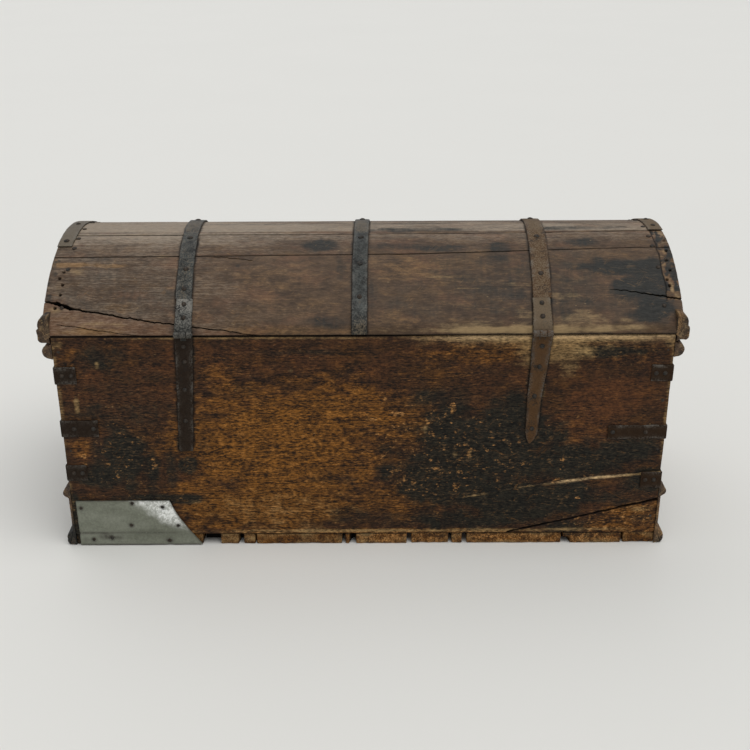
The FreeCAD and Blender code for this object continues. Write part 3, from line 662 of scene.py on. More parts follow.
class Finish:
    """A material under construction."""

    def __init__(self, name):
        self.material = bpy.data.materials.new(name)
        self.material.use_nodes = True
        self.tree = self.material.node_tree
        self.shader = self.tree.nodes["Principled BSDF"]

    def connect(self, socket, value):
        """Sets a socket to a number or colour, or links a value to it."""
        if isinstance(value, Value):
            self.tree.links.new(value.socket, socket)
        elif socket.type == "RGBA":
            socket.default_value = (*value[:3], 1.0)
        else:
            socket.default_value = value

    def node(self, kind, settings, inputs, output=0):
        """Adds a node: its settings first, then its inputs, and gives one of its outputs."""
        made = self.tree.nodes.new("ShaderNode" + kind)
        for key, setting in settings.items():
            setattr(made, key, setting)
        for key, value in inputs.items():
            self.connect(made.inputs[key], value)
        return Value(self, made.outputs[output])

    def maths(self, operation, first, second):
        return self.node("Math", {"operation": operation}, {0: first, 1: second})

    def most(self, first, second):
        return self.maths("MAXIMUM", first, second)

    def ease(self, low, high, value):
        settings = {"interpolation_type": "SMOOTHSTEP"}
        return self.node("MapRange", settings, {"Value": value, "From Min": low, "From Max": high})

    def mix(self, first, second, part, blend="MIX"):
        """Two colours mixed; the node's colour sockets come after those for numbers and vectors."""
        factor, colour_a, colour_b, colour_out = 0, 6, 7, 2
        settings = {"data_type": "RGBA", "blend_type": blend}
        return self.node("Mix", settings, {factor: part, colour_a: first, colour_b: second}, colour_out)

    def darken(self, colour, amount):
        """A colour times a value."""
        grey = self.node("CombineColor", {}, {0: amount, 1: amount, 2: amount})
        return self.mix(colour, grey, 1.0, "MULTIPLY")

    def painted(self, *names):
        """Values painted on the mesh."""
        return [self.node("Attribute", {"attribute_name": name}, {}, "Fac") for name in names]

    def fibres(self):
        """The mesh's places along and across the grain."""
        return self.node("Attribute", {"attribute_name": "grain"}, {}, "Vector")

    def places(self):
        """The part's own coordinates."""
        return self.node("TexCoord", {}, {}, "Object")

    def stretched(self, places, sizes):
        scale = tuple(1.0 / cell for cell in sizes)
        return self.node("VectorMath", {"operation": "MULTIPLY"}, {0: places, 1: scale})

    def noise(self, places, sizes, detail=2.0, rough=0.55, twist=0.0):
        """Noise whose cells have these sizes in metres, or one size all ways."""
        sizes = sizes if isinstance(sizes, tuple) else (sizes, sizes, sizes)
        settled = {"Scale": 1.0, "Detail": detail, "Roughness": rough, "Distortion": twist}
        return self.node("TexNoise", {}, {"Vector": self.stretched(places, sizes), **settled})

    def cells(self, places, sizes, output):
        return self.node("TexVoronoi", {}, {"Vector": self.stretched(places, sizes), "Scale": 1.0}, output)

    def cover(self, amount, pattern, soft):
        """Where a painted amount shows, broken up by a pattern from 0 to 1."""
        return self.ease(1.0, 1.0 + 2 * soft, pattern + amount * (1.0 + 2 * soft))

    def scratches(self, places, slant, sizes, seed):
        """Thin lines that run one way."""
        turned = self.node("VectorRotate", {"rotation_type": "Z_AXIS"}, {"Vector": places, "Angle": slant})
        turned = self.node("VectorMath", {"operation": "ADD"}, {0: turned, 1: (seed, seed * 0.7, 0.0)})
        line = self.noise(turned, sizes, 1.0) - 0.5
        line = self.ease(0.016, 0.004, self.node("Math", {"operation": "ABSOLUTE"}, {0: line}))
        return line * self.ease(0.54, 0.62, self.noise(turned, (0.034, 0.030, 0.030)))

    def done(self, colour, roughness, height, bump, distance=0.0006, metallic=0.0, sheen=0.5):
        """Links the finished values to the shader."""
        self.shader.inputs["Specular IOR Level"].default_value = sheen
        normal = self.node("Bump", {}, {"Height": height, "Strength": bump, "Distance": distance})
        values = {"Base Color": colour, "Roughness": roughness, "Metallic": metallic, "Normal": normal}
        for name, value in values.items():
            self.connect(self.shader.inputs[name], value)
        return self.material


GAP_SHADE_BLACK = (0.004, 0.003, 0.0025)


def wood_finish(name, tones, contrast=1.0, stretch=1.0):
    """Old stained wood: fibres, scuffs, blots, scratches, pale worn places, dust with a painted sheen, bare
    wood with a painted highlight, and painted shade in dark cracks and gaps.
    """
    f = Finish(name)
    grain = f.fibres()
    fibre = f.noise(grain, (0.120 * stretch, 0.0042, 0.0042), 4.0, 0.7, 0.15)
    scuff = f.noise(grain, (0.028 * stretch, 0.0120, 0.0120), 6.0, 0.8)
    fine = f.ease(0.32, 0.68, f.noise(grain, (0.0092 * stretch, 0.0028, 0.0028), 3.0, 0.75))
    mottle = f.noise(grain, (0.042, 0.022, 0.022), 5.0, 0.65)
    patchy = f.noise(grain, (0.120, 0.060, 0.060), 3.0, 0.6)
    pit = f.noise(grain, (0.0095 * stretch, 0.0027, 0.0031), 2.0, 0.6)
    drip = f.noise(grain, (0.008, 0.070, 0.070), 3.0, 0.6)
    chip = f.noise(grain, (0.013, 0.010, 0.010), 4.0, 0.65)
    tint = f.noise(grain, (0.085, 0.050, 0.041), 4.0, 0.6)
    worn, stain, gap, dust, gold = f.painted("worn", "stain", "gap", "dust", "gold")
    raw, red, flake, bare = f.painted("raw", "red", "flake", "bare")
    line, rub = f.ease(0.36, 0.64, fibre), f.ease(0.34, 0.66, scuff)
    rag = f.ease(0.36, 0.64, scuff * 0.5 + mottle * 0.3 + fibre * 0.2)
    cloud = f.ease(0.34, 0.66, mottle * 0.4 + patchy * 0.4 + drip * 0.2)
    powder = f.ease(0.2, 0.8, fine * 0.2 + line * 0.15 + patchy * 0.65)
    marks = f.scratches(grain, 0.5, (0.11, 0.006, 0.006), 3.0)
    marks = marks + f.scratches(grain, -0.9, (0.09, 0.005, 0.005), 7.0)
    marks = marks + f.scratches(grain, 0.08, (0.15, 0.006, 0.006), 13.0)
    speck = f.ease(0.16, 0.06, f.cells(grain, (0.017, 0.010, 0.010), "Distance"))
    speck = speck * f.ease(0.56, 0.62, f.noise(grain, (0.041, 0.037, 0.037), 1.0))
    glint = f.ease(0.55, 0.95, fine) * f.ease(0.5, 0.9, rub)
    dash = f.ease(0.54, 0.68, pit) * 0.4

    colour = f.mix(tones.dark, tones.middle, f.ease(0.36, 0.64, patchy * 0.3 + mottle * 0.4 + scuff * 0.3))
    colour = f.mix(colour, tones.red, f.cover(red * 0.8, cloud, 0.6) * 0.85)
    colour = f.mix(colour, tones.red, f.ease(0.48, 0.70, tint) * 0.6)
    colour = f.mix(colour, tones.gold, f.cover(gold * 0.8, rag, 0.8) * 0.9)
    colour = f.mix(colour, tones.gold, f.ease(0.50, 0.30, tint) * 0.2)
    # Dust, which on the crown is also a painted sheen
    colour = f.mix(colour, tones.dust, f.cover(dust, powder, 0.8) * 0.7)
    colour = f.mix(colour, tones.stain, f.cover(stain * 1.05, cloud, 0.6) * 0.96)
    chipped = f.cover(flake, f.ease(0.36, 0.70, chip), 0.14)
    colour = f.mix(colour, tones.flake, chipped * (0.15 + 0.75 * fine))
    colour = f.mix(colour, tones.gold, marks * 0.3)
    colour = f.mix(colour, tones.pale, f.cover(worn * 0.9, rag, 0.85) * 0.88)
    # Painted highlight: this bare wood tone, on the case's rubbed top edge and ridge, is bare wood and a
    # highlight
    colour = f.mix(colour, tones.bare, bare * (0.7 + 0.4 * rub))
    colour = f.mix(colour, tones.raw, raw * (0.55 + 0.4 * mottle))
    colour = f.mix(colour, tones.pale, speck * 0.45)
    colour = f.mix(colour, tones.flake, glint * (0.3 + 0.8 * gold) * contrast * 0.2)
    shade = (fine - 0.5) * 1.35 + (line - 0.5) * 0.4 + (rub - 0.5) * 0.4 + (drip - 0.5) * 0.6
    shade = shade + (f.ease(0.34, 0.66, mottle) - 0.5) * 0.35
    lively = contrast * (0.62 + 0.5 * f.most(gold, stain)) * (1.0 - 0.5 * worn)
    colour = f.darken(colour, f.most(1.0 + lively * (shade - dash), 0.12))
    # Painted shade: black in gaps, cracks, holes, the bore and beside the straps
    colour = f.mix(colour, GAP_SHADE_BLACK, gap)
    roughness = 0.58 + (mottle - 0.5) * 0.35 + worn * 0.2 + gap * 0.2
    height = fibre * 0.35 + fine * 0.25 + scuff * 0.4 - speck * 0.3 - dash * 0.5
    return f.done(colour, roughness, height, bump=0.6, distance=0.0009, sheen=0.18)


def iron_finish(name, tones, rust):
    """Forged iron: scale, brown rust in blooms, dark crust with painted shade along the foot, dust with a
    painted sheen, and rubbed edges with a painted highlight.
    """
    f = Finish(name)
    at = f.places()
    mottle = f.noise(at, 0.024, 5.0, 0.65)
    fine = f.noise(at, 0.0030, 3.0, 0.6)
    hammer = f.noise(at, 0.011, 1.0)
    worn, crust, dust = f.painted("worn", "crust", "dust")
    spread_out = f.ease(0.34, 0.66, mottle * 0.7 + fine * 0.3)
    bloom = f.cover(rust, spread_out, 0.3)
    dull = f.cover(crust, spread_out, 0.4)
    colour = f.mix(tones.dark, tones.light, f.ease(0.34, 0.68, mottle * 0.4 + fine * 0.3 + hammer * 0.3))
    colour = f.mix(colour, tones.rust, bloom * 0.9)
    colour = f.mix(colour, tones.crust, dull * 0.9)
    dusty = f.cover(dust, f.ease(0.3, 0.7, fine * 0.6 + mottle * 0.4), 0.4)
    colour = f.mix(colour, tones.dust, dusty * 0.7)
    # Rubbed edges, which are also a painted highlight on the bars' edges
    colour = f.mix(colour, tones.edge, worn * f.ease(0.38, 0.62, fine * 0.5 + mottle * 0.5) * 0.6)
    colour = f.darken(colour, 1.0 + (fine - 0.5) * 0.9)
    rough_part = f.most(bloom, dull)
    roughness = 0.48 + rough_part * 0.25 + (fine - 0.5) * 0.3
    height = hammer * 0.6 + mottle * 0.25 + fine * 0.35
    metallic = (1.0 - rough_part) * 0.5
    return f.done(colour, roughness, height, bump=0.6, distance=0.0008, metallic=metallic, sheen=0.13)


def zinc_finish(name, tones):
    """Galvanised sheet: faint spangle, grey bloom, brown stains and a brighter speckled place, which is a
    painted reflection.
    """
    f = Finish(name)
    at = f.places()
    spangle = f.node("SeparateColor", {}, {0: f.cells(at, (0.006, 0.006, 0.006), "Color")})
    cloud = f.noise(at, (0.080, 0.030, 0.030), 4.0, 0.6)
    fine = f.noise(at, 0.004, 3.0)
    speckle = f.ease(0.42, 0.58, f.noise(at, 0.0062, 2.0, 0.75))
    bright, stain = f.painted("worn", "stain")
    colour = f.mix(tones.zinc_dark, tones.zinc, f.ease(0.3, 0.7, cloud * 0.7 + fine * 0.3))
    # Painted reflection: the bright speckled place
    colour = f.mix(colour, tones.zinc_reflection, bright * (0.35 + 0.15 * spangle + 0.5 * speckle))
    colour = f.darken(colour, 0.95 + (spangle - 0.5) * 0.10 + (fine - 0.5) * 0.25)
    colour = f.mix(colour, tones.crust, stain * f.ease(0.3, 0.6, fine * 0.6 + cloud * 0.4))
    roughness = 0.48 - bright * 0.1 + (cloud - 0.5) * 0.3
    metallic = 0.55 - 0.4 * stain - 0.35 * bright
    height = cloud * 0.5 + fine * 0.2
    return f.done(colour, roughness, height, bump=0.3, distance=0.001, metallic=metallic)


def floor_finish(name, colour):
    """The stage's matte floor, very slightly uneven."""
    f = Finish(name)
    shade = [0.93 * part for part in colour]
    cloud = f.noise(f.places(), 1.3, 3.0)
    fine = f.noise(f.places(), 0.02)
    roughness = 0.75 + (fine - 0.5) * 0.1
    return f.done(f.mix(shade, colour, 0.7 + cloud * 0.4), roughness, fine, bump=0.03)


FINISHES = {}


def finish_named(slot):
    """The finish of a material slot, made once, from the trunk's settings."""
    scene = bpy.context.scene
    makers = {
        "case_wood": (wood_finish, scene.trunk_tones, 1.3),
        "lid_wood": (wood_finish, scene.trunk_lid_tones, 0.38, 1.3),
        "moulding_wood": (wood_finish, scene.trunk_lid_tones, 0.8),
        "floor_wood": (wood_finish, scene.trunk_tones, 1.0),
        "dark_iron": (iron_finish, scene.trunk_iron, 0.12),
        "rusty_iron": (iron_finish, scene.trunk_iron, 0.74),
        "nail_iron": (iron_finish, scene.trunk_iron, 0.42),
        "zinc_sheet": (zinc_finish, scene.trunk_iron),
    }
    if slot not in FINISHES:
        maker, *settings = makers[slot]
        FINISHES[slot] = maker(slot, *settings)
    return FINISHES[slot]


# Wood pieces. Spots are (along, up or over the dome, half length, half height, strength), in millimetres

SPLIT_START = HALF_LENGTH - 307.0
SPLIT_END_Z = 101.0
SPLIT_SLOPE = (SPLIT_END_Z - FLOOR_TOP) / (HALF_LENGTH - SPLIT_START)
BACK_STAINS = (
    (235, 215, 185, 118, 1.0), (150, 150, 120, 70, 0.9), (420, 190, 150, 45, 0.9),
    (330, 110, 230, 40, 0.95), (520, 215, 80, 40, 0.8), (560, 140, 60, 40, 0.8), (150, 330, 90, 45, 0.55),
    (300, 290, 60, 60, 0.75), (-505, 420, 60, 40, 0.6), (-440, 330, 60, 80, 0.4),
    (-475, 215, 55, 60, 0.9), (-352, 185, 24, 22, 1.0), (-520, 160, 70, 34, 0.75),
    (-430, 108, 130, 14, 0.8), (-130, 425, 160, 10, 0.5), (-60, 150, 60, 30, 0.4),
    (-110, 45, 160, 16, 0.3), (480, 425, 110, 18, 0.7), (30, 60, 180, 30, 0.4), (-320, 240, 26, 60, 0.4),
    (-230, 355, 40, 24, 0.45), (-40, 70, 70, 30, 0.5), (560, 60, 40, 14, 0.5), (430, 45, 50, 12, 0.6),
    (200, 60, 150, 34, 0.7), (300, 75, 120, 36, 0.8), (-500, 290, 50, 70, 0.5), (-560, 380, 50, 60, 0.4),
    (-470, 200, 26, 110, 0.8), (-425, 170, 20, 80, 0.7), (-385, 175, 16, 80, 0.6),
    (-530, 240, 20, 90, 0.5), (-470, 310, 130, 130, 0.5), (-588, 60, 12, 70, 1.0),
    (400, 40, 80, 30, 0.55),
)
BACK_GOLD = (
    (330, 430, 280, 36, 0.6), (-170, 230, 260, 150, 0.95), (-60, 300, 160, 90, 0.8),
    (-280, 300, 70, 130, 0.6), (-200, 90, 220, 70, 1.0), (40, 100, 150, 60, 0.6),
    (60, 280, 120, 80, 0.65), (-420, 230, 60, 60, 0.5), (420, 250, 110, 70, 0.35),
    (150, 380, 120, 40, 0.35), (-560, 225, 30, 60, 0.6), (390, 101, 44, 16, 0.8),
    (-330, 130, 90, 30, 0.7), (110, 262, 60, 40, 0.8), (180, 205, 50, 40, 0.75), (210, 190, 26, 26, 0.8),
    (150, 170, 60, 20, 0.8), (40, 285, 50, 22, 0.9), (-60, 30, 300, 8, 1.0), (240, 30, 120, 7, 1.0),
    (540, 80, 60, 20, 0.9), (500, 40, 110, 16, 0.7), (-560, 400, 26, 50, 0.5), (340, 230, 20, 90, 0.45),
    (-60, 200, 90, 20, 0.9),
)
BACK_RED = (
    (-470, 330, 130, 110, 0.8), (480, 320, 110, 80, 0.95), (-200, 410, 300, 40, 0.5),
    (-520, 250, 80, 80, 0.6), (470, 240, 120, 40, 0.6), (-560, 150, 40, 60, 0.5), (560, 80, 40, 24, 0.8),
    (100, 350, 160, 60, 0.4),
)
# Pale worn places; the bands along the top edge are also a painted highlight
BACK_PALE = (
    (350, 456, 280, 14, 1.0), (360, 444, 250, 24, 0.4), (318, 425, 40, 40, 0.6), (386, 430, 70, 34, 0.7),
    (396, 405, 30, 50, 0.5), (-592, 330, 8, 130, 0.5), (593, 300, 7, 130, 0.5), (-560, 318, 7, 22, 0.75),
    (-512, 400, 6, 12, 0.7), (121, 260, 6, 11, 0.6), (181, 205, 7, 9, 0.65), (211, 204, 5, 12, 0.6),
    (-140, 388, 8, 6, 0.6), (-60, 31, 300, 5, 0.8), (250, 31, 160, 5, 0.8), (-190, 80, 220, 60, 0.34),
    (585, 442, 14, 14, 0.6), (345, 350, 14, 50, 0.35), (-585, 445, 14, 12, 0.5), (560, 80, 40, 10, 0.6),
    (440, 33, 110, 6, 0.6), (-200, 456, 380, 4, 0.6),
)
BACK_FLAKES = (
    (175, 310, 6, 17, 0.9), (125, 280, 6, 7, 0.9), (85, 260, 5, 4, 0.8), (210, 210, 7, 15, 0.95),
    (60, 170, 14, 5, 0.8), (50, 155, 4, 14, 0.7), (80, 150, 4, 13, 0.7), (180, 135, 17, 9, 0.95),
    (100, 145, 6, 6, 0.8), (160, 240, 5, 5, 0.8), (275, 185, 6, 4, 0.6), (435, 105, 9, 6, 0.7),
    (395, 190, 6, 28, 0.5), (365, 275, 5, 8, 0.6), (385, 145, 9, 7, 0.8), (70, 215, 6, 5, 0.7),
    (40, 200, 7, 5, 0.7), (145, 175, 6, 5, 0.6), (195, 165, 5, 7, 0.6), (135, 250, 5, 5, 0.7),
    (30, 250, 10, 5, 0.7), (420, 290, 5, 9, 0.5), (145, 75, 8, 5, 0.6), (40, 330, 9, 18, 0.6),
    (65, 295, 24, 8, 0.7), (15, 285, 13, 7, 0.7), (-520, 220, 8, 20, 0.45), (-420, 190, 10, 22, 0.5),
    (-500, 160, 14, 12, 0.5), (-560, 200, 8, 30, 0.5), (-60, 29, 300, 6, 0.7), (200, 29, 110, 5, 0.7),
)
# Wide places where small flakes have come off
BACK_FLAKED = (
    (190, 200, 210, 130, 1.4), (100, 240, 110, 90, 1.7), (-470, 220, 120, 130, 1.0),
    (400, 130, 200, 60, 0.9), (-200, 120, 260, 80, 0.8),
)
BACK_RIDGE = Crack(
    ((-595, 110), (0, 104), (150, 98), (235, 116), (315, 132), (455, 153), (595, 165)),
    ((-595, 2), (595, 2)),
    0.0,
)
LID_STAINS = (
    (-86, 223, 46, 30, 0.75), (60, 218, 80, 16, 0.6), (150, 208, 70, 16, 0.65), (270, 200, 40, 50, 0.6),
    (265, 150, 40, 40, 0.5), (430, 230, 52, 22, 0.65), (390, 205, 40, 16, 0.5), (500, 150, 90, 34, 0.9),
    (555, 130, 60, 60, 0.95), (530, 105, 70, 40, 0.95), (560, 60, 50, 50, 0.95), (530, 40, 40, 22, 0.6),
    (385, 55, 22, 44, 0.5), (300, 84, 34, 20, 0.5), (-530, 178, 70, 10, 0.4), (120, 292, 150, 16, 0.6),
    (420, 300, 150, 16, 0.6), (-245, 160, 10, 9, 0.6), (100, 60, 80, 40, 0.4), (-45, 160, 14, 44, 0.5),
    (-470, 100, 80, 40, 0.4), (-60, 30, 50, 20, 0.5), (200, 130, 60, 60, 0.4), (-340, 20, 40, 24, 0.5),
    (320, 150, 40, 70, 0.5), (10, 90, 24, 70, 0.45), (330, 110, 300, 130, 0.45),
    (-470, 100, 230, 120, 0.35), (-420, 150, 150, 40, 0.3),
)
LID_GOLD = (
    (-560, 164, 60, 9, 1.0), (-500, 160, 40, 7, 0.8), (120, 150, 130, 60, 0.5), (-120, 60, 130, 30, 0.35),
    (60, 40, 90, 26, 0.45), (200, 60, 120, 40, 0.35), (-470, 60, 70, 14, 0.5), (-300, 120, 130, 60, 0.25),
    (-520, 12, 80, 9, 0.9), (-330, 40, 40, 20, 0.4), (430, 110, 80, 30, 0.3), (-560, 40, 40, 16, 0.5),
    (-180, 120, 120, 60, 0.35), (-130, 12, 180, 14, 0.5), (360, 170, 60, 20, 0.4),
    (330, 110, 300, 130, 0.35),
)
LID_PALE = (
    (300, 12, 240, 10, 0.95), (320, 36, 60, 26, 0.4), (420, 34, 60, 26, 0.45), (490, 16, 90, 10, 0.6),
    (380, 84, 44, 10, 0.4), (296, 108, 40, 8, 0.4), (-584, 110, 10, 48, 0.3), (150, 128, 40, 3, 0.5),
    (200, 100, 26, 3, 0.5), (500, 30, 20, 6, 0.5), (-500, 26, 60, 8, 0.4), (-590, 55, 20, 12, 0.4),
    (-560, 150, 20, 16, 0.4), (200, 22, 90, 12, 0.5),
)
# Empty nail holes in the lid, and its cracks and joints
LID_HOLES = (
    (-582, 144), (-580, 112), (-581, 89), (-588, 60), (600, 200), (597, 143), (590, 105), (603, 236),
    (-588, 128), (594, 170), (588, 120),
)
LID_MAIN_CRACK = Crack(
    ((-610, 74), (-585, 70), (-555, 58), (-510, 50), (-405, 32), (-310, 18), (-260, 12), (-200, 2.4),
     (-120, 16), (200, 96), (480, 96), (510, 93), (610, 74)),
    ((-610, 3.4), (-592, 4.2), (-586, 8.5), (-560, 8), (-552, 3.4), (-405, 2.2), (-260, 1.4), (-205, 0.9),
     (-196, 0), (470, 0), (490, 1.2), (610, 4)),
    16.0,
)
LID_LOW_CRACK = Crack(
    ((-610, 27), (-575, 25.6), (-460, 7), (-420, 2.8), (-200, 0.9), (610, 0.9)),
    ((-590, 0), (-575, 0.9), (-500, 1.1), (-440, 0.8), (-415, 0), (610, 0)), 8.0,
)
LID_SHORT_CRACK = Crack(
    ((-610, 165), (-330, 180), (-298, 184), (-272, 183), (-190, 168), (200, 165), (610, 180)),
    ((-304, 0), (-290, 1.2), (-250, 1.5), (-220, 0.9), (-212, 0), (610, 0)), 8.0,
)
STAVES = ("back_stave", "rear_top_stave", "crown_stave", "front_top_stave", "front_stave")
STAVE_CRACKS = {"back_stave": (LID_LOW_CRACK, LID_MAIN_CRACK, LID_SHORT_CRACK)}
# How wide the rough strips at the lid's ends are
END_STRIP = 28.0
# The joints on either side of the rear top stave
SEAMS = (
    ((-610, 185), (-225, 188.4), (110, 192.3), (270, 199), (550, 210.5), (610, 212)),
    ((-610, 267), (-230, 268.3), (320, 272.3), (400, 276.6), (610, 282)),
)
# How far below the joint, to the side, and half how wide each hinge's lower strap is
LOWER_STRAPS = {
    "left": (
        (0, 0, 17), (60, -3.0, 16.2), (130, -6.2, 15.4), (236, -11.7, 14.2), (241, -12, 13.4),
    ),
    "right": (
        (0, 0, 19), (67, -3.5, 16.5), (134, -9.5, 13.5), (205, -11, 12.2), (218, -12, 8), (227, -14, 1.2),
    ),
}


def strap_course(node):
    """The straight line that a CAD strap follows from the back to the front, and half its width."""
    points = node_points(node)
    course = np.polyfit(points[:, 1], points[:, 0], 1)
    tilt = points[:, 0] - np.polyval(course, points[:, 1])
    course[1] += (tilt.max() + tilt.min()) / 2
    return course, (tilt.max() - tilt.min()) / 2


def beside_lower_strap(side, u, rows):
    """How far places on the back board are from a hinge's lower strap."""
    leaf_low, leaf_high = node_box(side + "_hinge_leaf")
    down, centres, halves = zip(*LOWER_STRAPS[side])
    drop = JOINT_Z - rows
    middle = (leaf_low[0] + leaf_high[0]) / 2 + np.interp(drop, down, centres)
    return np.maximum(np.abs(u - middle) - np.interp(drop, down, halves), drop - down[-1])


def beside_lid_strap(node, along, rows):
    """How far places on the lid are from a strap over it."""
    course, half = strap_course(node)
    return np.abs(along - np.polyval(course, over_dome(0.0, rows, 0)[..., 1])) - half


def back_paints(us, rows, near):
    """The back board's blots, worn places and tones, with a painted highlight on its top edge and ridge,
    and painted shade under the lid, just above the ridge and beside the straps.
    """
    u = np.broadcast_to(us, rows.shape)
    edge = near * 0.5 * (0.6 + 0.6 * soft_noise(5, u / 60, rows / 60))
    ridge = BACK_RIDGE.course_at(u)
    # The pale line along the ridge is worn wood and a painted highlight where its lip catches the light;
    # just above it is painted shade in the step
    ridge_pale_and_highlight = 0.5 + 0.3 * soft_noise(8, u / 16, rows / 80) + 0.35 * ease(360, 400, u)
    ridge_pale_and_highlight = ridge_pale_and_highlight * ease(4.2, 0.8, np.abs(rows - ridge + 1.6)) * ease(170, 215, u)
    over_ridge = ease(3.5, 0.5, rows - ridge) * (rows > ridge + 0.4) * ease(190, 260, u) * 0.7
    rubbed_end = ease(60, 220, u)
    # Painted shade along the top edge under the lid, fainter to the right
    shade_under_lid = ease(JOINT_Z - 2.2, JOINT_Z - 0.4, rows) * (1 - 0.85 * rubbed_end) * 0.9
    # Painted highlight: a bright band of bare wood right along the rubbed top edge, strongest to the right
    top_edge_highlight = np.exp((rows - JOINT_Z) / 4.6) * rubbed_end * (0.85 + 0.3 * soft_noise(59, u / 45))
    # Grime and painted shade beside the lower straps, and a painted shadow line along their edges
    beside = np.minimum(*(beside_lower_strap(side, u, rows) for side, _ in SIDES))
    grime_and_shade = ease(12, -1, beside) * (0.5 + 0.35 * soft_noise(58, u / 19, rows / 30))
    return {
        "worn": share(most(blots(u, rows, BACK_PALE, 21), edge, ridge_pale_and_highlight)),
        "stain": most(blots(u, rows, BACK_STAINS, 31, 0.42), grime_and_shade),
        "gold": blots(u, rows, BACK_GOLD, 41, 0.4),
        "flake": most(blots(u, rows, BACK_FLAKES, 45, 0.5), 0.16 * blots(u, rows, BACK_FLAKED, 46, 0.4)),
        "red": blots(u, rows, BACK_RED, 51, 0.4),
        "bare": share(most(top_edge_highlight, 0.6 * ridge_pale_and_highlight * ease(350, 410, u) * ease(550, 490, u))),
        "gap": most(shade_under_lid, ease(2.6, 0.8, beside) * 0.8, over_ridge),
    }


class TRUNK_OT_back_board(bpy.types.Operator):
    """Back board with its split corner, ridge and worn edges"""

    bl_idname = "trunk.back_board"
    bl_label = "Back board"

    def execute(self, context):
        self.make_board()
        self.make_corner()
        return {"FINISHED"}

    def make_board(self):
        """The board above the split."""
        us = spread(-HALF_LENGTH, HALF_LENGTH, 4.0)
        split = FLOOR_TOP + np.clip(us - SPLIT_START, 0, None) * SPLIT_SLOPE
        ragged = 1.2 + 0.8 * soft_noise(2, us / 7) + 0.8 * soft_noise(3, us / 23) + 1.6 * ease(430, 560, us)
        low = np.where(us > SPLIT_START, split + 0.8 + np.clip(ragged, 0.2, 5), FLOOR_TOP)
        rows, _ = rows_along(us, low, JOINT_Z, 3.4, (BACK_RIDGE,))
        depth, near = wear(us, rows, 11, 2.6, 3.2)
        along = np.broadcast_to(us, rows.shape)
        above = rows - BACK_RIDGE.course_at(along)
        step = 2.2 * ease(-1.2, 1.2, above) * ease(46, 6, above) * ease(165, 230, along)
        rubbed = round_over(JOINT_Z - rows, 11.0) * ease(20, 140, along)
        rubbed = rubbed * (0.75 + 0.25 * soft_noise(19, along / 60))
        depth = np.maximum(depth, rubbed) + step + dents(us, rows, 4, 150)
        paints = back_paints(us, rows, near)
        # Painted shade along the split
        paints["gap"] = most(paints["gap"], ease(2.4, 0.6, rows - low) * (along > SPLIT_START + 4))
        make_piece("back_board", board_mesh(us, rows, depth, BOARD, on_back, paints))

    def make_corner(self):
        """The wormy corner below the split."""
        us = spread(SPLIT_START + 6, HALF_LENGTH, 4.0)
        split = FLOOR_TOP + (us - SPLIT_START) * SPLIT_SLOPE
        ragged = 0.8 + 0.8 * soft_noise(6, us / 8) + 0.6 * soft_noise(7, us / 19)
        rows, _ = rows_along(us, FLOOR_TOP, split - np.clip(ragged, 0.1, 1.1), 3.6)
        depth, near = wear(us, rows, 17, 3.0, 6.0)
        along = np.broadcast_to(us, rows.shape)
        worms = share(rough_noise(61, along / 9, rows / 7) - 0.1) * ease(380, 560, along) * 5
        depth = depth + worms + dents(us, rows, 9, 30)
        paints = back_paints(us, rows, near)
        # Painted shade in the worm holes and under the split
        under_split = ease(1.6, 0.3, rows[-1:] - rows) * 0.9
        paints["gap"] = most(paints["gap"], ease(2.2, 4.0, worms) * 0.7, under_split)
        paints["gold"] = most(paints["gold"], 0.25 + 0.3 * ease(400, 500, along))
        paints["flake"] = most(paints["flake"], 0.34 * ease(360, 480, along))
        mesh = board_mesh(us, rows, depth, BOARD, on_back, paints)
        make_piece("back_board_broken_corner", mesh, name="broken_corner")


# The bore behind the keyhole plate: half its width, its foot and top below the plate's top, the step at
# its edge and the wood left at its end
BORE_HALF = 7.0
BORE_FOOT = 46.0
BORE_TOP = 9.0
BORE_WALL = 0.5
BORE_REST = 2.0
# Rubbed places on the front and end boards
FRONT_PALE = ((-7, 330, 120, 50, 0.4), (300, 440, 200, 12, 0.7), (-380, 446, 160, 10, 0.6))
END_PALE = ((0, 245, 90, 50, 0.6), (-200, 300, 50, 120, 0.5))


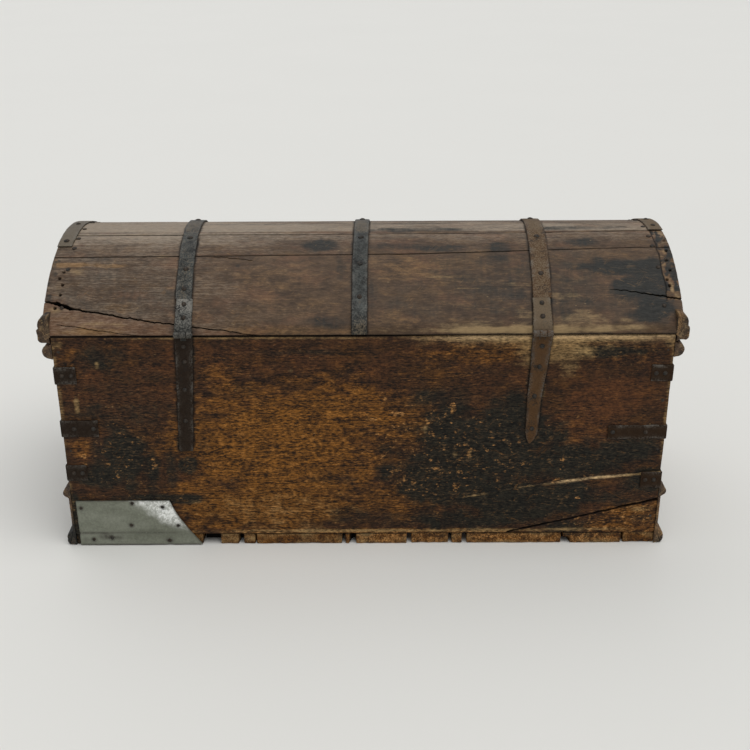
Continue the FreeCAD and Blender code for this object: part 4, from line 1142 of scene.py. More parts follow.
class TRUNK_OT_case_boards(bpy.types.Operator):
    """Front and end boards of the case"""

    bl_idname = "trunk.case_boards"
    bl_label = "Front and end boards"

    def execute(self, context):
        self.make_front()
        for side, sign in SIDES:
            self.make_end(side, sign)
        return {"FINISHED"}

    def make_front(self):
        """The front board, bored behind the keyhole plate, short of its inner face."""
        plate_low, plate_high = node_box("keyhole_plate")
        plate_x = (plate_low[0] + plate_high[0]) / 2
        bore_low, bore_high = plate_high[2] - BORE_FOOT, plate_high[2] - BORE_TOP
        sides = np.array([-BORE_HALF - BORE_WALL, -BORE_HALF, BORE_HALF, BORE_HALF + BORE_WALL])
        ends = [bore_low, bore_low + BORE_WALL, bore_high - BORE_WALL, bore_high]
        us = spread(-HALF_LENGTH, HALF_LENGTH, 8.0)
        us = np.unique(np.concatenate([us, plate_x + sides]))
        rows = level_rows(np.unique(np.concatenate([spread(FLOOR_TOP, JOINT_Z, 7.0), ends])), us)
        depth, near = wear(us, rows, 101, 2.6, 3.0)
        along = np.broadcast_to(us, rows.shape)
        middle = BORE_WALL / 2
        bore = (rows > bore_low + middle) & (rows < bore_high - middle)
        bore = bore & (np.abs(along - plate_x) < BORE_HALF + middle)
        depth = np.where(bore, BOARD - BORE_REST, depth + dents(us, rows, 12, 90))
        paints = {
            "worn": share(near * 0.7 + blots(along, rows, FRONT_PALE, 13)),
            "gold": 0.45 + 0.4 * rough_noise(14, along / 190, rows / 60),
            "stain": share(rough_noise(15, along / 210, rows / 90) * 1.3),
            "red": share(0.35 + rough_noise(16, along / 160, rows / 80)),
            # Painted shade in the bore
            "gap": bore * 1.0,
        }
        make_piece("front_board", board_mesh(us, rows, depth, BOARD, on_front, paints))

    def make_end(self, side, sign):
        """An end board between the back and the front."""
        us = spread(BACK_Y + BOARD, -BACK_Y - BOARD, 8.0)
        rows = level_rows(spread(FLOOR_TOP, JOINT_Z, 7.0), us)
        depth, near = wear(us, rows, 130 + sign, 1.6, 2.0)
        depth = depth + dents(us, rows, 20 + sign, 60)
        along = np.broadcast_to(us, rows.shape)
        paints = {
            "worn": share(near * 0.5 + blots(along, rows, END_PALE, 22)),
            "gold": 0.4 + 0.4 * rough_noise(23 + sign, along / 150, rows / 50),
            "stain": share(rough_noise(25 + sign, along / 160, rows / 80) * 1.3),
            "red": share(0.3 + rough_noise(27 + sign, along / 120, rows / 60)),
        }
        make_piece(side + "_end_board", board_mesh(us, rows, depth, BOARD, on_end(sign), paints))


# Broken out places at the floor boards' ends: from, to and how high, by board
FLOOR_NOTCHES = {
    2: ((-335, -299, 30), (-258, -251, 30)),
    4: ((-29, -19, 30),),
    8: ((400, 421, 13),),
}
NOTCH_DEPTH = 22.0


class TRUNK_OT_floor_boards(bpy.types.Operator):
    """Rough floor boards whose ends show under the back board"""

    bl_idname = "trunk.floor_boards"
    bl_label = "Floor boards"

    def execute(self, context):
        for number in range(1, 10):
            self.make_board(number)
        return {"FINISHED"}

    def make_board(self, number):
        """One board, sawn rough, whose end stands back a little more or less than its neighbours'."""
        name = "bottom_board_%d" % number
        low, high = node_box(name)
        us = spread(low[0], high[0], 4.0)
        rows = level_rows(spread(low[2], high[2], 2.5), us)
        depth, near = wear(us, rows, 200 + number, 2.4, 5.0)
        along = np.broadcast_to(us, rows.shape)
        sawn = 1.2 * (1 + rough_noise(220 + number, along / 11, rows / 6))
        depth = depth + sawn + (number * 7 % 4) * 0.7
        for first, last, top in FLOOR_NOTCHES.get(number, ()):
            inside = ease(-1.5, 1.5, along - first) * ease(1.5, -1.5, along - last)
            depth = depth + NOTCH_DEPTH * inside * ease(top + 1, top - 1, rows)
        soaked = share(0.2 + rough_noise(240 + number, along / 60, rows / 20)) * 0.8
        paints = {
            "worn": share(0.3 + 0.5 * rough_noise(230 + number, along / 40, rows / 12) + near * 0.15),
            "gold": np.full(rows.shape, 0.7),
            "stain": most(soaked, ease(40, 8, along + HALF_LENGTH)),
            "flake": ease(-60, 0, along) * (0.66 - 0.1 * ease(80, 200, along)) * ease(570, 500, along),
            # Painted shade in the notches and along the top edge, under the back board
            "gap": most(ease(4, 12, depth), ease(3.2, 1.0, high[2] - rows) * 0.9),
        }
        thick, grain = high[1] - low[1], across_board(137 * number)
        make_piece(name, board_mesh(us, rows, depth, thick, on_back, paints, grain, 4))


def stave_columns():
    """Grid columns along the staves, closer at the lid's ends."""
    ends = np.arange(2.0, 50.0, 2.0)
    us = [spread(-STAVE_REACH, STAVE_REACH, 4.0), ends - STAVE_REACH, STAVE_REACH - ends]
    us = np.unique(np.round(np.concatenate(us), 2))
    us = us[np.concatenate([[True], np.diff(us) > 0.5])]
    us[-1] = STAVE_REACH
    return us


def lid_dust_and_sheen(along, rows):
    """Dust and a painted sheen on the crown, thinner over the stave below it and on the left."""
    rear_top = ease(186, 198, rows) * ease(278, 274, rows)
    fall = ease(205, 270, rows)
    crown = ease(274, 292, rows) * (0.54 - 0.42 * ease(345, 420, rows))
    crown = crown * (0.88 + 0.3 * soft_noise(74, along / 120, rows / 40))
    left_side = ease(50, -450, along) * 0.32 * (1 - 0.55 * rear_top * (1 - fall))
    below_crown = rear_top * (0.18 + 0.2 * fall) + 0.16 * ease(278, 284, rows) * ease(345, 330, rows)
    return share(crown + left_side + below_crown)


def stave_face(number, us, rows, crack_depth):
    """How deep a stave's face is worn, and what is painted on it."""
    along = np.broadcast_to(us, rows.shape)
    depth, near = wear(us, rows, 300 + 10 * number, 2.2, 2.4)
    holes = most(*(ease(3.6, 1.6, np.hypot(along - x, rows - s)) for x, s in LID_HOLES))
    depth = depth + crack_depth + dents(us, rows, 30 + number, 80, 0.7) + 6 * holes
    # Rough pale strips at the lid's ends
    border = STAVE_REACH - END_STRIP + 1.5 * soft_noise(65, rows / 17)
    strip = ease(-1, 2, np.where(along > 0, along, -along - 12) - border) * np.where(along > 0, 1.0, 0.4)
    strip = strip * ease(60, 80, rows) * ease(OVER_DOME - 60, OVER_DOME - 80, rows)
    rough = rough_noise(66, along / 9, rows / 14)
    depth = depth + strip * (0.5 + 0.9 * ease(-0.2, 0.6, rough_noise(67, along / 7, rows / 9)))
    rim = ease(2.6, 0.6, np.abs(along - border)) * ease(60, 80, rows) * ease(300, 280, rows) * 0.85
    edge = near * (0.1 + 0.25 * soft_noise(7, along / 50, rows / 50))
    seam = ease(1.5, 0.3, np.minimum(rows - rows[:1], rows[-1:] - rows)) * 0.8
    below_crack = ease(2, -4, rows - LID_MAIN_CRACK.course_at(along)) * ease(-190, -230, along)
    # The front of the lid has the same stains turned about, and fainter
    cloudy = 0.3 * share(rough_noise(68, along / 260, rows / 60) + 0.2)
    turned = blots(190 - along, OVER_DOME - rows, LID_STAINS, 73, 0.4)
    front_stain = most(cloudy, 0.7 * turned) * (rows > 330)
    # Grime and painted shade beside the lid straps, and a painted shadow line along their edges
    straps = ("left_lid_strap", "centre_lid_strap", "right_lid_strap")
    beside = np.minimum.reduce([beside_lid_strap(strap, along, rows) for strap in straps])
    grime_and_shade = ease(11, -1, beside) * (0.5 + 0.35 * soft_noise(69, along / 30, rows / 19)) * 0.8
    stain = most(blots(along, rows, LID_STAINS, 71, 0.4), grime_and_shade, front_stain) * (1 - 0.8 * strip)
    worn = most(blots(along, rows, LID_PALE, 61 + number), edge, strip * ease(-0.2, 0.6, rough) * 0.55)
    return depth, {
        "worn": share(worn),
        "stain": stain + strip * ease(0.3, -0.4, rough) * 0.9,
        "gold": most(blots(along, rows, LID_GOLD, 81), 0.25 * below_crack, 0.35 * strip),
        "red": share(0.75 * below_crack + 0.35 * rough_noise(88, along / 200, rows / 70)),
        # Painted shade in cracks, nail holes and seams, along the lid's lower edge, at the strips' borders
        # and beside the straps
        "gap": most(ease(1.2, 6, crack_depth), holes, ease(5.0, 2.6, rows) * 0.95, rim, seam,
                    ease(2.4, 0.8, beside) * 0.75),
        "dust": lid_dust_and_sheen(along, rows),
    }


class TRUNK_OT_staves(bpy.types.Operator):
    """Bent staves of the dome, cracked and stained, with slanting joints"""

    bl_idname = "trunk.staves"
    bl_label = "Dome staves"

    def execute(self, context):
        us = stave_columns()
        front = [along_dome(node_box(name)[0][1], -STAVE) for name in STAVES[3:]]
        seams = [np.interp(us, *zip(*seam)) for seam in SEAMS]
        seams = [0 * us] + seams + [0 * us + s for s in (*front, OVER_DOME)]
        joint_gap, edge_gap = 0.5, 2.0
        for number, name in enumerate(STAVES):
            low = seams[number] + (joint_gap if number else edge_gap)
            high = seams[number + 1] - (edge_gap if name == STAVES[-1] else joint_gap)
            step = 3.4 if number < 2 else 4.4
            rows, crack_depth = rows_along(us, low, high, step, STAVE_CRACKS.get(name, ()))
            depth, paints = stave_face(number, us, rows, crack_depth)
            grain = further_along(211 * number)
            make_piece(name, board_mesh(us, rows, depth, STAVE, on_dome, paints, grain))
        return {"FINISHED"}


class TRUNK_OT_gables(bpy.types.Operator):
    """Half-moon boards at the ends of the dome"""

    bl_idname = "trunk.gables"
    bl_label = "Gables"

    def execute(self, context):
        for side, sign in SIDES:
            name = side + "_gable"
            low, high = node_box(name)
            us = spread(low[1], high[1], 7.0)
            arc = DOME_CENTRE + np.sqrt((high[2] - DOME_CENTRE) ** 2 - us ** 2)
            rows, _ = rows_along(us, JOINT_Z, arc, 6.0)
            depth, near = wear(us, rows, 400 + sign, 1.2, 1.4)
            along = np.broadcast_to(us, rows.shape)
            paints = {
                "worn": share(0.4 * near + 0.4 * rough_noise(402 + sign, along / 70, rows / 20)),
                "gold": np.full(rows.shape, 0.45),
                "stain": share(rough_noise(404 + sign, along / 120, rows / 50)),
            }
            mesh = board_mesh(us, rows, depth, high[0] - low[0], on_end(sign), paints, coarse=5)
            make_piece(name, mesh)
        return {"FINISHED"}


def run_on_end(sign):
    """Places a moulding on the left or right end."""
    return lambda out, run, up: np.stack([sign * (HALF_LENGTH + out), run, up], -1)


def run_on_front(out, run, up):
    """Places a moulding on the front."""
    return np.stack([run, -BACK_Y + out, up], -1)


def tar_foot(mesh):
    """Blackens a plinth's foot at the back."""
    verts, _, paints = mesh
    tar = ease(BACK_Y + 70, BACK_Y + 15, verts[:, 1]) * ease(70, 35, verts[:, 2])
    paints["stain"] = most(paints["stain"], tar)
    paints["worn"] = paints["worn"] * (1 - tar)
    paints["flake"] = paints["flake"] * (1 - tar)


class TRUNK_OT_mouldings(bpy.types.Operator):
    """Plinth, rim and lid mouldings with knocked edges and worn ends"""

    bl_idname = "trunk.mouldings"
    bl_label = "Mouldings"

    def execute(self, context):
        for kind in ("plinth", "rim_moulding", "lid_moulding"):
            mitred = kind != "lid_moulding"
            outline = closer(end_outline("right_" + kind, 1, BACK_Y)[:, [0, 2]] - [HALF_LENGTH, 0])
            start = np.full(len(outline), BACK_Y)
            stop = outline[:, 0] - BACK_Y if mitred else 0 * start + node_box("right_" + kind)[1][1]
            for side, sign in SIDES:
                name = side + "_" + kind
                mesh = moulding_mesh(outline, start, stop, run_on_end(sign), 500 + len(kind) + sign, True)
                if name == "left_plinth":
                    tar_foot(mesh)
                make_piece(name, mesh)
            name = "front_" + kind
            if not mitred:
                outline = closer(end_outline(name, 0, -HALF_LENGTH)[:, [1, 2]] + [BACK_Y, 0])
            reach = HALF_LENGTH + outline[:, 0] * mitred
            make_piece(name, moulding_mesh(outline, -reach, reach, run_on_front, 520 + len(kind)))
        return {"FINISHED"}


# Iron pieces

# Edges that turn more than this, in degrees, stay sharp
IRON_SHARP = 30.0
NAIL_SHARP = 18.0
ROD_SHARP = 40.0
# How far bars stand off the wood, and how far over the dome the hinge leaves reach
STRAP_FIT = 0.4
LEAF_REACH = LIP + 62.0
# Half the middle knuckle as a share of half the leaf, the play beside it, and that round the pin
KNUCKLE_SHARE = 0.36
KNUCKLE_PLAY = 0.5
PIN_PLAY = 0.05
# Where along the arc the end bands begin
BAND_STARTS = {"left": 0.338, "right": 0.441}
# Irons of one corner are further apart than this
IRON_GAP = 40.0
# The boards' nails have small heads that are sunk in
BOARD_NAIL_RADIUS = 4.2
BOARD_NAIL_SUNK = 0.8
# How far the handles' legs stand in from the ends of their eyes
BAIL_LEG_INSET = 25.0


def size(name):
    """One of the trunk's sizes, in millimetres."""
    return getattr(bpy.context.scene.trunk_sizes, name) / MM


def dome_bar(node, first, last, thick, seed, dust):
    """A bar over the dome where a CAD strap is, between two places from the back joint."""
    steps = np.arange(first, last + 0.1, (last - first) / max(2, round((last - first) / 4.0)))
    course, half = strap_course(node)
    middle = np.polyval(course, over_dome(0.0, steps, 0)[:, 1])
    base = over_dome(middle, steps, STRAP_FIT)
    foot_dust = 0.55 * ease(first + 70, first + 5, steps) * (first < LIP)
    # Dust, and where the bar crosses the crown a painted sheen like the staves'
    crown_dust_and_sheen = 0.6 * ease(245, 282, steps) * ease(400, 345, steps)
    dust = most(dust, foot_dust, crown_dust_and_sheen)
    return forged_bar(base, out_of_dome(steps), ALONG_X, half, thick, seed, dust=dust)


def hinge_leaf(side, x, half, pin_z):
    """The leaf that a hinge has on the lid; the left one is rubbed and the right one dusty."""
    steps = np.linspace(pin_z - JOINT_Z + 1.5, LEAF_REACH - 0.6, 24)
    base = over_dome(x, steps, STRAP_FIT)
    widths = half * (0.97 + 0.03 * np.cos(steps / 20))
    dust = 0.1 if side == "left" else 0.95
    thick, seed = size("leaf"), 600 + len(side)
    leaf = forged_bar(base, out_of_dome(steps), ALONG_X, widths, thick, seed, 0.22, 0.05, dust)
    if side == "left":
        rubbed = np.repeat(1.2 + 0.9 * ease(46, 54, steps), len(BAR_RING))
        leaf[2]["worn"] = most(leaf[2]["worn"], rubbed)
    return leaf


def lower_strap(side, x, half_neck, pin_z):
    """The strap that a hinge has on the case, and the neck that carries its knuckle."""
    down, centres, halves = zip(*LOWER_STRAPS[side])
    steps = np.append(np.arange(0, down[-1], 4.0), down[-1])
    across, heights = x + np.interp(steps, down, centres), JOINT_Z - 0.8 - steps * 0.996
    base = np.stack([across, np.full(steps.shape, BACK_Y), heights], -1)
    crust = 0.8 + 0.1 * steps / steps[-1] if side == "left" else 0.15
    widths, thick = np.interp(steps, down, halves), size("strap")
    strap = forged_bar(base, -ALONG_Y, ALONG_X, widths, thick, 620 + len(side), crust=crust)
    base = np.array([(x, BACK_Y - 0.9, z) for z in (JOINT_Z - 6.0, JOINT_Z - 3, JOINT_Z + 1, pin_z - 1.5)])
    return strap, forged_bar(base, -ALONG_Y, ALONG_X, half_neck, thick, 630, 0.05, 0.4)


class TRUNK_OT_hinges(bpy.types.Operator):
    """Strap hinges: hammered leaves, knuckles and lower straps"""

    bl_idname = "trunk.hinges"
    bl_label = "Strap hinges"

    def execute(self, context):
        for side, _ in SIDES:
            leaf_low, leaf_high = node_box(side + "_hinge_leaf")
            pin_low, pin_high = node_box(side + "_hinge_pin")
            x, half = (leaf_low[0] + leaf_high[0]) / 2, (leaf_high[0] - leaf_low[0]) / 2
            _, pin_y, pin_z = (pin_low + pin_high) / 2
            hole = (pin_high[2] - pin_low[2]) / 2 + PIN_PLAY
            roll = pin_y, pin_z, pin_y - leaf_low[1], hole
            centre = half * KNUCKLE_SHARE
            clear = centre + KNUCKLE_PLAY
            outer = (x - half, x - clear), (x + clear, x + half)
            leaf = [hinge_leaf(side, x, half, pin_z)] + [knuckle(*ends, *roll) for ends in outer]
            make_piece(side + "_hinge_leaf", join_parts(leaf), IRON_SHARP)
            neck = centre - KNUCKLE_PLAY
            strap = [*lower_strap(side, x, neck, pin_z), knuckle(x - centre, x + centre, *roll)]
            make_piece(side + "_lower_strap", join_parts(strap), IRON_SHARP)
            make_piece(side + "_hinge_pin", softened(side + "_hinge_pin", 0.6), IRON_SHARP)
        return {"FINISHED"}


class TRUNK_OT_lid_straps(bpy.types.Operator):
    """Straps and end bands bent over the dome"""

    bl_idname = "trunk.lid_straps"
    bl_label = "Lid straps and end bands"

    def execute(self, context):
        strap, band = size("strap"), size("band")
        front = OVER_DOME - LIP - 6.0
        band_front = along_dome(node_box("left_end_band")[1][1], 2.9)
        arc = OVER_DOME - 2 * LIP
        bars = (
            ("left_lid_strap", LEAF_REACH, front, strap, 0.34),
            ("right_lid_strap", LEAF_REACH, front, strap, 0.5),
            ("centre_lid_strap", 5.0, front, strap, 0.1),
            ("left_end_band", BAND_STARTS["left"] * arc + LIP, band_front, band, 0.95),
            ("right_end_band", BAND_STARTS["right"] * arc + LIP, band_front, band, 0.85),
        )
        for number, (name, first, last, thick, dust) in enumerate(bars):
            make_piece(name, dome_bar(name, first, last, thick, 640 + 7 * number, dust), IRON_SHARP)
        return {"FINISHED"}


def corner_line(leg, end_leg):
    """A level line from the right end round to the back, and its directions out of the wood."""
    ends = np.linspace(end_leg, 2, 12)
    turns = np.linspace(0, math.pi / 2, 7)
    backs = np.linspace(2, leg, max(8, int(leg / 4)))
    line = [(HALF_LENGTH, BACK_Y + y, 0) for y in ends] + [(HALF_LENGTH, BACK_Y, 0)] * len(turns)
    line += [(HALF_LENGTH - x, BACK_Y, 0) for x in backs]
    out = [(1, 0, 0)] * len(ends) + [(math.cos(a), -math.sin(a), 0) for a in turns]
    out += [(0, -1, 0)] * len(backs)
    return np.array(line, float), np.array(out, float)


class TRUNK_OT_corner_irons(bpy.types.Operator):
    """Flat irons bent round the upright corners"""

    bl_idname = "trunk.corner_irons"
    bl_label = "Corner irons"

    def execute(self, context):
        for face, back in (("back", 1), ("front", -1)):
            for side, sign in SIDES:
                name = "%s_%s_corner_irons" % (face, side)
                parts = self.irons_of(name, np.array([sign, back, 1]), 0.72 if side == "right" else 1.0)
                make_piece(name, join_parts(parts), IRON_SHARP)
        return {"FINISHED"}

    def irons_of(self, name, flip, crust):
        """The irons of one corner, each as high and as long as its CAD solid."""
        points = node_points(name)
        heights = sorted({round(z, 1) for z in points[:, 2]})
        between = [pair for pair in zip(heights, heights[1:]) if pair[1] - pair[0] > IRON_GAP]
        feet = [heights[0]] + [foot for _, foot in between]
        tops = [top for top, _ in between] + [heights[-1]]
        for number, (foot, top) in enumerate(zip(feet, tops)):
            own = points[(points[:, 2] > foot - 1) & (points[:, 2] < top + 1)]
            leg, end_leg = HALF_LENGTH - np.abs(own[:, 0]).min(), -BACK_Y - np.abs(own[:, 1]).min()
            line, out = corner_line(leg, end_leg)
            line[:, 2] = (foot + top) / 2 + 0.8 * soft_noise(660 + number, np.arange(len(line)) / 6)
            half, thick, seed = (top - foot) / 2, size("band"), 670 + number + len(name)
            yield forged_bar(line * flip, out * flip, ALONG_Z, half, thick, seed, crust=crust)


# Rust on the zinc patch
PATCH_RUST = (
    (-532, 20, 15, 7, 0.75), (-507, 18, 10, 5, 0.6), (-572, 14, 8, 5, 0.4), (-404, 12, 12, 6, 0.4),
)


class TRUNK_OT_zinc_patch(bpy.types.Operator):
    """Dented zinc sheet nailed over the lower left corner"""

    bl_idname = "trunk.zinc_patch"
    bl_label = "Zinc patch"

    def execute(self, context):
        low, high = node_box("zinc_patch")
        heights = spread(low[2], high[2], 3.2)
        part = (heights - low[2]) / (high[2] - low[2])
        right = high[0] - 62 * part - 22 * part * (1 - part) + 0.7 * soft_noise(701, heights / 9)
        x, _ = rows_along(heights, low[0] + 0.5 * soft_noise(702, heights / 11) + 0.5, right, 3.4)
        z = np.broadcast_to(heights, x.shape)
        fold = FLOOR_TOP + 4
        swell = 1.5 * (1 + soft_noise(703, z / 46, x / 70)) * ease(fold, fold + 30, z)
        swell = swell + 1.4 * ease(fold, low[2], z) + 0.5 * (1 + soft_noise(704, z / 14, x / 16))
        swell = swell - ease(5, 0, np.abs(z - fold))
        curl = 1.8 * ease(9, 0, right - x) * ease(-0.2, 0.6, soft_noise(705, z / 24))
        feet = [foot for foot, _, _ in nails_of("zinc_patch_nails")]
        from_nail = np.minimum.reduce([np.hypot(x - foot[0], z - foot[2]) for foot in feet])
        depth = -np.clip(swell + curl, 0.05, 6) * (1 - ease(14, 3, from_nail))
        edge = np.minimum.reduce([z - low[2], high[2] - z, x - low[0], right - x])
        # Darker in patches along the fold line
        in_fold = 0.8 * ease(5, 0, np.abs(z - fold)) * ease(-0.6, 0.4, soft_noise(707, x / 40, z / 10))
        at_edges = most(ease(8.5, 3.5, from_nail) * 0.8, ease(4, 0, edge) * 0.5)
        # Painted reflection: the worn paint on the zinc is a bright place up to the right
        shine = (x + 494) * 0.6 + (z - 118) * 0.8 + 8 * rough_noise(706, x / 16, z / 12)
        paints = {
            "worn": ease(-8, 16, shine) * ease(28, 62, z),
            "stain": share(at_edges + in_fold + blots(x, z, PATCH_RUST, 708)),
        }
        mesh = board_mesh(heights, x, depth, SHEET, on_patch, paints, coarse=4)
        make_piece("zinc_patch", mesh, name="dented_zinc_patch")
        return {"FINISHED"}


class TRUNK_OT_nails(bpy.types.Operator):
    """Hand made nail heads where the CAD has its nails"""

    bl_idname = "trunk.nails"
    bl_label = "Nails"

    def execute(self, context):
        groups = ("case_rose", "lid_rose", "stave", "zinc_patch", "board")
        for number, group in enumerate(groups):
            draw = np.random.default_rng(800 + number)
            parts = []
            for foot, out, radius in nails_of(group + "_nails"):
                if group == "board":
                    out = math.copysign(1.0, foot[1]) * ALONG_Y
                    foot = np.array([foot[0], out[1] * (-BACK_Y - BOARD_NAIL_SUNK), foot[2]])
                    radius = BOARD_NAIL_RADIUS
                parts.append(rose_head(foot, out, radius, size(group + "_head"), draw))
            make_piece(group + "_nails", join_parts(parts), NAIL_SHARP)
        return {"FINISHED"}


class TRUNK_OT_handles(bpy.types.Operator):
    """Bail handles and their eyes"""

    bl_idname = "trunk.handles"
    bl_label = "Bail handles"

    def execute(self, context):
        for side, sign in SIDES:
            self.make_bail(side, sign)
            make_piece(side + "_handle_eyes", softened(side + "_handle_eyes", 1.2), IRON_SHARP)
        return {"FINISHED"}

    def make_bail(self, side, sign):
        """A bail: in from one pivot, down a leg, along the swollen grip and up to the other pivot."""
        name = side + "_handle_bail"
        low, high = node_box(name)
        radius = (high[0] - low[0]) / 2
        pivot_x, top, foot = (low[0] + high[0]) / 2, high[2] - radius, low[2] + radius
        bend = size("bail_bend")
        leg = node_box(side + "_handle_eyes")[1][1] - BAIL_LEG_INSET
        turns = np.linspace(0, math.pi / 2, 8)[1:]
        half = [(y, top) for y in np.linspace(high[1], leg + bend, 6)]
        half += [(leg + bend - bend * math.sin(a), top - bend + bend * math.cos(a)) for a in turns]
        half += [(leg, z) for z in np.linspace(top - bend, foot + bend, 12)[1:]]
        half += [(leg - bend + bend * math.cos(a), foot + bend - bend * math.sin(a)) for a in turns]
        grip = [(y, foot) for y in np.linspace(leg - bend, bend - leg, 20)[1:-1]]
        line = np.array([(pivot_x, y, z) for y, z in half + grip + [(-y, z) for y, z in reversed(half)]])
        swell = 1 + 0.14 * ease(top - 20, foot + 2, line[:, 2]) * ease(leg - 6, 10, np.abs(line[:, 1]))
        make_piece(name, forged_rod(line, radius * swell, 900 + sign), ROD_SHARP)


class TRUNK_OT_lock(bpy.types.Operator):
    """Chest lock, its bolt, its catch and the keyhole plate"""

    bl_idname = "trunk.lock"
    bl_label = "Chest lock"

    def execute(self, context):
        low, high = node_box("lock_case")
        draw = np.random.default_rng(950)
        inset, radius, height = 9.0, 4.5, 1.6
        rivets = [
            rose_head(np.array([x, low[1], z]), -ALONG_Y, radius, height, draw)
            for x in (low[0] + inset, high[0] - inset)
            for z in (low[2] + inset, (low[2] + high[2]) / 2, high[2] - inset)
        ]
        edges = {"lock_case": 1.1, "lock_bolt": 1.0, "lock_catch": 0.9, "keyhole_plate": 0.8}
        for name, width in edges.items():
            parts = [softened(name, width)] + (rivets if name == "lock_case" else [])
            make_piece(name, join_parts(parts), IRON_SHARP)
        return {"FINISHED"}


# Stage

# The floor lies this little below the plinths, in metres
FLOOR_DROP = 0.0004


class TRUNK_OT_stage(bpy.types.Operator):
    """Pale floor, soft studio lights and the camera"""

    bl_idname = "trunk.stage"
    bl_label = "Stage"

    def execute(self, context):
        stage = context.scene.trunk_stage
        self.make_floor(context.scene, stage)
        self.make_lights(context.scene, stage)
        self.make_camera(context.scene, stage)
        return {"FINISHED"}

    def make_floor(self, scene, stage):
        """A wide pale floor."""
        reach = stage.floor_reach
        mesh = bpy.data.meshes.new("floor")
        corners = [(-reach, -reach, 0), (reach, -reach, 0), (reach, reach, 0), (-reach, reach, 0)]
        mesh.from_pydata(corners, [], [(0, 1, 2, 3)])
        mesh.materials.append(floor_finish("pale_floor", stage.floor_colour))
        floor = bpy.data.objects.new("floor", mesh)
        floor.location.z = -FLOOR_DROP
        scene.collection.objects.link(floor)

    def make_lights(self, scene, stage):
        """Two soft lights and the light of the room."""
        for name, place, power in (
            ("key_light", (0.9, -0.9, 2.9), stage.key_light),
            ("back_light", (-0.8, 2.0, 2.4), stage.back_light),
        ):
            light = bpy.data.lights.new(name, "SUN")
            light.angle = stage.light_spread
            light.energy = power
            lamp = bpy.data.objects.new(name, light)
            lamp.location = place
            lamp.rotation_euler = Vector(place).to_track_quat("Z", "Y").to_euler()
            scene.collection.objects.link(lamp)
        world = bpy.data.worlds.new("soft_room")
        world.use_nodes = True
        room = world.node_tree.nodes["Background"]
        room.inputs["Color"].default_value = (*stage.room_colour, 1.0)
        room.inputs["Strength"].default_value = stage.room_light
        scene.world = world
        scene.view_settings.view_transform = "Standard"

    def make_camera(self, scene, stage):
        """The camera, turned by its yaw, pitch and roll."""
        yaw, pitch, roll = stage.camera_yaw, stage.camera_pitch, stage.camera_roll
        ahead = Vector((math.sin(yaw) * math.cos(pitch), math.cos(yaw) * math.cos(pitch), -math.sin(pitch)))
        level = Vector((math.cos(yaw), -math.sin(yaw), 0))
        below = ahead.cross(level)
        right = math.cos(roll) * level + math.sin(roll) * below
        down = math.cos(roll) * below - math.sin(roll) * level
        lens = bpy.data.cameras.new("camera")
        lens.sensor_width = 36.0
        lens.lens = stage.camera_lens
        camera = bpy.data.objects.new("camera", lens)
        turn = Matrix((right, -down, -ahead)).transposed().to_4x4()
        camera.matrix_world = Matrix.Translation(Vector(stage.camera_place)) @ turn
        scene.collection.objects.link(camera)
        scene.camera = camera


# Settings

def tone(name, description, default):
    """A colour setting."""
    return FloatVectorProperty(
        name=name, description=description, default=default, subtype="COLOR", size=3, min=0, max=1,
    )


def length(name, description, default):
    """A size setting, in metres."""
    return FloatProperty(name=name, description=description, default=default, min=0, unit="LENGTH")


def angle(name, description, degrees):
    """An angle setting."""
    return FloatProperty(name=name, description=description, default=math.radians(degrees), subtype="ANGLE")


def strength(name, description, default):
    """A setting for how strong something is."""
    return FloatProperty(name=name, description=description, default=default, min=0)


class TrunkSizes(bpy.types.PropertyGroup):
    """Sizes of the forged pieces, and the wear"""

    strap: length("Straps", "Thickness of the straps", 0.0035)
    leaf: length("Hinge leaves", "Thickness of the hinge leaves", 0.0045)
    band: length("Bands", "Thickness of the end bands and corner irons", 0.0025)
    case_rose_head: length("Case nails", "Height of the nail heads on the case's irons", 0.0028)
    lid_rose_head: length("Lid nails", "Height of the nail heads on the lid's irons", 0.0026)
    stave_head: length("Stave nails", "Height of the staves' nail heads", 0.0015)
    zinc_patch_head: length("Patch nails", "Height of the patch's nail heads", 0.0017)
    board_head: length("Board nails", "Height of the boards' nail heads", 0.0005)
    bail_bend: length("Bail bends", "Radius of the bends in the handles", 0.014)
    wear: strength("Wear", "How far the boards' edges are worn round, 1 being as found", 1.0)


class TrunkTones(bpy.types.PropertyGroup):
    """Colours of the case's old stained wood"""

    dark: tone("Dark", "Deep stained wood", (0.024, 0.011, 0.0055))
    middle: tone("Middle", "Stained wood where it is thinner", (0.060, 0.025, 0.009))
    red: tone("Red", "Reddish stain", (0.082, 0.030, 0.010))
    gold: tone("Gold", "Wood rubbed down to a golden brown", (0.158, 0.062, 0.009))
    # Also a painted highlight on the case's top edge and ridge
    pale: tone("Pale", "Bare dusty wood at worn places", (0.270, 0.175, 0.075))
    stain: tone("Stain", "Black soaked stains", (0.013, 0.012, 0.008))
    flake: tone("Flake", "Bare wood where the stain has flaked off", (0.330, 0.160, 0.050))
    # Also a painted highlight along the case's rubbed top edge and ridge
    bare: tone("Bare", "Dry bare wood on the most rubbed edge", (0.760, 0.525, 0.280))
    raw: tone("Raw", "Unstained wood inside", (0.200, 0.125, 0.065))
    dust: tone("Dust", "Grey dust", (0.170, 0.150, 0.130))


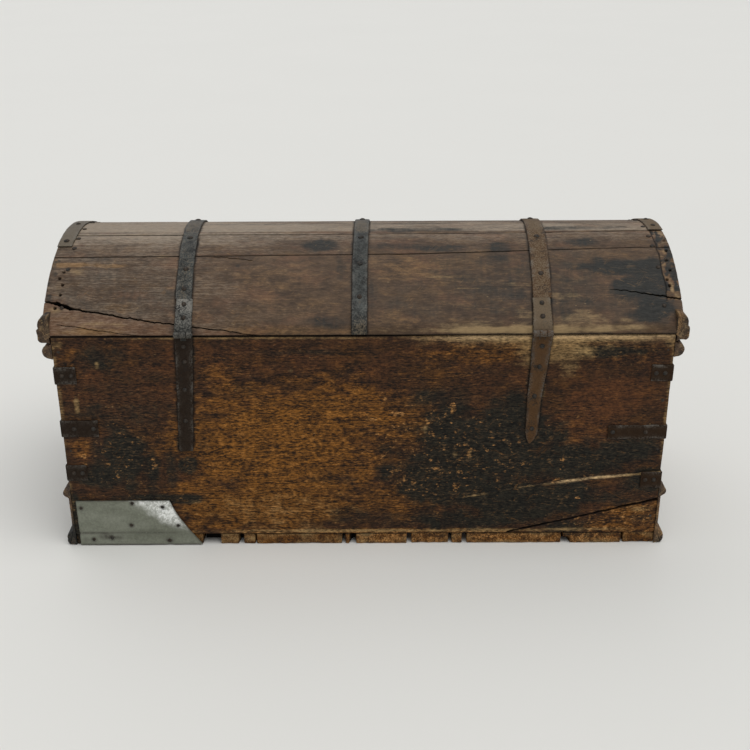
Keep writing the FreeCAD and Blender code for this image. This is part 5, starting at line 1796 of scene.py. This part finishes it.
class TrunkLidTones(bpy.types.PropertyGroup):
    """Colours of the lid's greyer wood"""

    dark: tone("Dark", "Deep stained wood", (0.052, 0.033, 0.021))
    middle: tone("Middle", "Stained wood where it is thinner", (0.116, 0.074, 0.045))
    red: tone("Red", "Reddish stain", (0.150, 0.078, 0.044))
    gold: tone("Gold", "Wood rubbed down to a golden brown", (0.225, 0.125, 0.050))
    pale: tone("Pale", "Bare dusty wood at worn places", (0.310, 0.215, 0.110))
    stain: tone("Stain", "Blue-black soaked stains", (0.022, 0.023, 0.021))
    flake: tone("Flake", "Bare wood where the stain has flaked off", (0.400, 0.260, 0.120))
    bare: tone("Bare", "Dry bare wood on the most rubbed edge", (0.560, 0.390, 0.215))
    raw: tone("Raw", "Unstained wood inside", (0.200, 0.125, 0.065))
    # Also a painted sheen on the crown
    dust: tone("Dust", "Warm grey dust", (0.322, 0.264, 0.198))


class TrunkIron(bpy.types.PropertyGroup):
    """Colours of the iron and zinc"""

    dark: tone("Dark", "Dark forge scale", (0.018, 0.018, 0.017))
    light: tone("Light", "Greyer iron", (0.072, 0.076, 0.070))
    rust: tone("Rust", "Brown rust", (0.088, 0.042, 0.014))
    crust: tone("Crust", "Dark brown crust", (0.017, 0.008, 0.003))
    # Also a painted sheen where the bars cross the crown
    dust: tone("Dust", "Dust on the iron", (0.150, 0.115, 0.075))
    # Also a painted highlight on the bars' edges
    edge: tone("Edge", "Rubbed edges", (0.168, 0.158, 0.138))
    zinc: tone("Zinc", "Dull zinc", (0.270, 0.282, 0.225))
    zinc_dark: tone("Dark zinc", "Zinc under grime", (0.165, 0.175, 0.132))
    # A painted reflection, brightest up to the right
    zinc_reflection: tone("Bright zinc", "Polished zinc", (0.980, 0.990, 0.950))


class TrunkStage(bpy.types.PropertyGroup):
    """Floor, lights and camera"""

    floor_reach: length("Floor reach", "Half the floor's side", 90.0)
    floor_colour: tone("Floor", "Pale floor", (0.74, 0.73, 0.69))
    room_colour: tone("Room", "Light of the room", (0.95, 0.97, 1.0))
    room_light: strength("Room light", "Strength of the room's light", 0.42)
    key_light: strength("Key light", "Strength of the main soft light", 1.7)
    back_light: strength("Back light", "Strength of the light from behind", 0.5)
    light_spread: angle("Spread", "How wide each soft light is", 55.0)
    camera_place: FloatVectorProperty(
        name="Camera", description="Where the camera stands", default=(0.0266, -2.1648, 1.1854), size=3,
        subtype="XYZ", unit="LENGTH",
    )
    camera_yaw: angle("Yaw", "Turn to the right", -0.1226)
    camera_pitch: angle("Pitch", "Tilt downwards", 22.961)
    camera_roll: angle("Roll", "Roll of the picture", 0.289)
    camera_lens: FloatProperty(name="Lens", description="Focal length", default=51.5, unit="CAMERA")


PIECES = (
    TRUNK_OT_back_board, TRUNK_OT_case_boards, TRUNK_OT_floor_boards, TRUNK_OT_staves, TRUNK_OT_gables,
    TRUNK_OT_mouldings, TRUNK_OT_hinges, TRUNK_OT_lid_straps, TRUNK_OT_corner_irons, TRUNK_OT_zinc_patch,
    TRUNK_OT_nails, TRUNK_OT_handles, TRUNK_OT_lock, TRUNK_OT_stage,
)
SETTINGS = (
    ("trunk_sizes", TrunkSizes), ("trunk_tones", TrunkTones), ("trunk_lid_tones", TrunkLidTones),
    ("trunk_iron", TrunkIron), ("trunk_stage", TrunkStage),
)


class TRUNK_PT_panel(bpy.types.Panel):
    """Lists the trunk's pieces and settings"""

    bl_idname = "TRUNK_PT_panel"
    bl_label = "Dome Top Trunk"
    bl_space_type = "VIEW_3D"
    bl_region_type = "UI"
    bl_category = "Trunk"

    def draw(self, context):
        for piece in PIECES:
            self.layout.operator(piece.bl_idname)
        for name, group in SETTINGS:
            column = self.layout.column()
            for key in group.__annotations__:
                column.prop(getattr(context.scene, name), key)


def register():
    """Adds the settings, the pieces and the panel."""
    for name, group in SETTINGS:
        bpy.utils.register_class(group)
        setattr(bpy.types.Scene, name, PointerProperty(type=group))
    for piece in PIECES:
        bpy.utils.register_class(piece)
    bpy.utils.register_class(TRUNK_PT_panel)


def unregister():
    """Takes the panel, the pieces and the settings away."""
    bpy.utils.unregister_class(TRUNK_PT_panel)
    for piece in reversed(PIECES):
        bpy.utils.unregister_class(piece)
    for name, group in reversed(SETTINGS):
        delattr(bpy.types.Scene, name)
        bpy.utils.unregister_class(group)


def main():
    """Makes every piece and the stage."""
    register()
    for piece in PIECES:
        group, name = piece.bl_idname.split(".")
        getattr(getattr(bpy.ops, group), name)()


if __name__ == "__main__":
    main()
